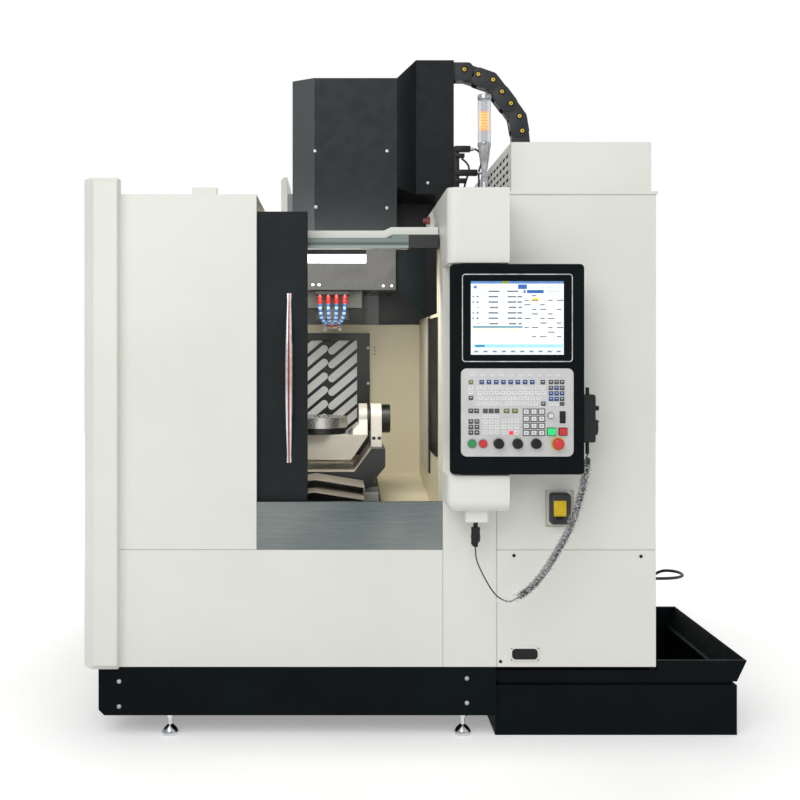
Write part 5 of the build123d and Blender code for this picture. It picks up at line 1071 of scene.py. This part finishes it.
def makeHandle(spec):
    low, high = spec["z"]
    middle, half = (low + high) / 2, (high - low) / 2
    part = bmesh.new()
    rows = []
    for r in range(spec["rows"] + 1):
        z = low + (high - low) * r / spec["rows"]
        front = spec["door"] - spec["bow"] * (1 - ((z - middle) / half) ** 2)
        back = spec["door"] - (spec["bow"] - spec["thick"]) * max(0, 1 - ((z - middle) / (half - spec["foot"])) ** 2)
        wide = spec["width"] / 2 * (1 - spec["taper"] * abs((z - middle) / half) ** 3)
        ring = []
        for c in range(spec["columns"] + 1):  # crowned front, then the flat back
            across = 2 * c / spec["columns"] - 1
            fall = min(spec["crown"], spec["door"] - front) * across ** 4
            ring.append(part.verts.new((spec["x"] + across * wide, front + fall, z)))
        for across in (1, -1):
            ring.append(part.verts.new((spec["x"] + across * wide * 0.9, max(back, front + 0.5), z)))
        rows.append(ring)
    count = spec["columns"] + 3
    for lower, upper in zip(rows, rows[1:]):
        for c in range(count):
            face = part.faces.new((lower[c], lower[(c + 1) % count], upper[(c + 1) % count], upper[c]))
            across = 2 * (c + 0.5) / spec["columns"] - 1
            face.material_index = 1 if abs(across) < spec["inlay"] else 0
    part.faces.new(rows[0][::-1])
    part.faces.new(rows[-1])
    bmesh.ops.recalc_face_normals(part, faces=part.faces[:])
    handle = newPiece("doorHandle", part, [metals["satin"], plastics["inlay"]], "door", 50)
    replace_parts(handle, "door_handle")
    print("door handle", spec["rows"], "rows")


makeHandle(doorHandle)

trunnionSeal = {"z": 1205.6, "inner": 225.2, "outer": 240.4, "radius": 58.0}


def makeSeals(spec):
    whole = bmesh.new()
    deep = spec["outer"] - spec["inner"]
    for side in (-1, 1):
        seat = facing((xTable + side * spec["inner"], yTable, spec["z"]), (side, 0, 0))
        addLathe(whole, [(spec["radius"] - 2, 0), (spec["radius"], 2), (spec["radius"], deep - 2),
                         (spec["radius"] - 2, deep)], seat, 0, 48)
    newPiece("trunnionSeals", whole, [plastics["hose"]], "cradle")


makeSeals(trunnionSeal)

airUnit = {
    "x": 225.0, "y": -300.0, "floor": 2120.0, "top": 2424.0,
    "blocks": [(292, 60, 26), (262, 34, 18), (186, 92, 26), (150, 40, 20), (70, 60, 34)],  # rise, reach, height
    "unions": [(292, 60), (186, 92), (70, 60)],  # rise and reach of the screwed hose ends
    "hoseRadius": 4.5,
    "hoses": [[(80, 292), (108, 280), (112, 230), (96, 190), (100, 130), (92, 70), (96, 10)],
              [(110, 186), (132, 150), (120, 96), (112, 40), (118, 4)],
              [(80, 70), (98, 78), (104, 100), (88, 116), (66, 108), (58, 84), (66, 40), (70, 4)],
              [(20, 250), (46, 232), (58, 200), (44, 160), (30, 110), (34, 60), (30, 4)]],
    "plug": (102.5, -330, 2088),  # dark red end of a tube on the column's inner side
}


def makeAirUnit(spec):  # valve blocks and loose hoses on the roof, behind the operator column
    x, y, low = spec["x"], spec["y"], spec["floor"]
    whole = bmesh.new()
    addBox(whole, (x - 13, y - 10, low), (x + 11, y + 10, spec["top"]), 2.0, 0)
    for z, reach, tall in spec["blocks"]:
        addBox(whole, (x - 8, y - 16, low + z - tall / 2), (x + reach, y + 14, low + z + tall / 2), 2.5, 0)
    for z, reach in spec["unions"]:
        addLathe(whole, [(9, 0), (9, 12), (6.5, 14), (6.5, 22), (0, 22)],
                 facing((x + reach - 2, y, low + z), (1, 0, 0)), 1, 18)
    for hose in spec["hoses"]:
        line = evenly(routeLine([(x + a, y - 4, low + b) for a, b in hose]), 8.0)
        addTube(whole, line, spec["hoseRadius"], 2, 10)
    addLathe(whole, [(16, 0), (17, 3), (17, 16), (12, 20), (12, 30), (0, 30)], facing(spec["plug"], (-1, 0, 0)),
             3, 24)
    newPiece("airUnit", whole, [plastics["black"], metals["zinc"], plastics["hose"], plastics["rust"]], "machine")
    print("air unit", len(spec["hoses"]), "hoses")


makeAirUnit(airUnit)

frontDetails = {
    "seams": [((-1160, 733.4), (-627, 735.2)), ((101.6, 280), (103.2, 733)), ((311.8, 279), (313.6, 905))],
    "front": -886.0,
    "entry": (421.0, 329.0, 100, 42, 15),
    "feet": [(x, y) for x in (-967.5, 184.5) for y in (-841.0, 114.0, 1069.0)],
    "grip": [(218.0, -976.0, 802.0, 18.4), (214.5, -976.0, 778.0, 14.2)],
}


def makeFrontDetails(spec):
    seams = bmesh.new()
    for (x0, z0), (x1, z1) in spec["seams"]:
        addBox(seams, (x0, spec["front"] - 0.5, z0), (x1, spec["front"] + 1.5, z1))
    newPiece("panelSeams", seams, [plastics["midGrey"]], "machine")
    entry = bmesh.new()
    x, z, wide, tall, corner = spec["entry"]
    wall = spec["front"] - 6.5  # face of the frame that holds the gland plate
    addPlate(entry, roundedOutline(x, z, wide + 12, tall + 12, 4, 3), wall - 1.5, spec["front"] + 0.5, 0, 0.8)
    addPlate(entry, roundedOutline(x, z, wide, tall, corner, 6), wall - 2.2, wall, 1, 0.3)
    for across in (-1, 1):
        for up in (-1, 1):
            spot = (x + across * (wide / 2 + 1), wall - 1.5, z + up * (tall / 2 + 1))
            addLathe(entry, [(2.6, -0.5), (2.6, 1.0), (1.6, 1.6), (0, 1.6)], facing(spot, (0, -1, 0)), 1, 14)
    newPiece("cableEntry", entry, [coats["white"], plastics["black"]], "machine")
    feet = bmesh.new()
    for x, y in spec["feet"]:
        addLathe(feet, [(32.3, 11), (31.5, 16), (24, 27), (14, 36), (9.5, 42)], Matrix.Translation((x, y, 0)), 0, 32)
    newPiece("footBells", feet, [metals["darkChrome"]], "machine")
    grip = bmesh.new()
    for x, y, z, radius in spec["grip"]:
        ball = [(radius * math.cos(a), radius * math.sin(a)) for a in [math.radians(d) for d in range(-75, 76, 15)]]
        addLathe(grip, ball, Matrix.Translation((x, y, z)), 0, 24)
    newPiece("connectorGrip", grip, [plastics["black"]], "machine")
    print("front details made")


makeFrontDetails(frontDetails)

serviceCovers = {  # thin covers on the sides and back: axis they face, face place, edges across and up, vent rows
    "leftFront": ("x", -1300.5, (-700, 30), (430, 1960), ()),
    "leftRear": ("x", -1300.5, (120, 980), (430, 1960), ((520, 9), (1640, 7))),
    "rearLeft": ("y", 1114.0, (-1230, -530), (400, 2010), ((500, 8),)),
    "rearRight": ("y", 1114.0, (-455, 245), (400, 2010), ((500, 8), (1700, 6))),
    "cabinetBack": ("y", 514.0, (360, 885), (400, 2040), ((1700, 7),)),
    "cabinetDoorFront": ("x", 933.5, (-830, -190), (640, 2060), ((1760, 7),)),
    "cabinetDoorRear": ("x", 933.5, (-170, 470), (640, 2060), ((760, 7), (1760, 7))),
}


coverShape = {"thick": 2.5, "pitch": 26, "slotHalf": 150, "slotTall": 12, "slotRise": 0.4, "hoodHalf": 156,
              "hood": (8, 20), "hoodRise": 7, "screwInset": 22, "screwEnds": 30, "screws": 4}


def addCover(whole, spec, shape):
    axis, wall, across, up, vents = spec
    out = 1 if wall > 0 else -1

    def block(a0, a1, z0, z1, deep, bevel, paint):  # box that stands this far out of the wall
        near, far = sorted((wall - out, wall + out * deep))
        low, high = ((near, a0, z0), (far, a1, z1)) if axis == "x" else ((a0, near, z0), (a1, far, z1))
        addBox(whole, low, high, bevel, paint)

    thick = shape["thick"]
    block(across[0], across[1], up[0], up[1], thick, 1.2, 0)
    middle = (across[0] + across[1]) / 2
    for foot, rows in vents:  # hooded louvres, with a black strip below each hood as painted shade in the opening
        for row in range(rows):
            z = foot + row * shape["pitch"]
            block(middle - shape["slotHalf"], middle + shape["slotHalf"], z, z + shape["slotTall"],
                  thick + shape["slotRise"], 0, 1)
            block(middle - shape["hoodHalf"], middle + shape["hoodHalf"], z + shape["hood"][0], z + shape["hood"][1],
                  thick + shape["hoodRise"], 3.0, 0)
    way = (out, 0, 0) if axis == "x" else (0, out, 0)
    first, last = up[0] + shape["screwEnds"], up[1] - shape["screwEnds"]
    for a in (across[0] + shape["screwInset"], across[1] - shape["screwInset"]):
        for step in range(shape["screws"]):
            z = first + (last - first) * step / (shape["screws"] - 1)
            spot = (wall + out * thick, a, z) if axis == "x" else (a, wall + out * thick, z)
            addLathe(whole, [(8, -0.5), (8, 2), (6.5, 4), (3.6, 4.4), (3.4, 2), (0, 2)], facing(spot, way), 2, 18)


def makeCovers(covers):
    for name, spec in covers.items():
        whole = bmesh.new()
        addCover(whole, spec, coverShape)
        newPiece(name + "Cover", whole, [coats["white"], plastics["black"], metals["zinc"]], "machine")
    print("service covers", len(covers))


makeCovers(serviceCovers)
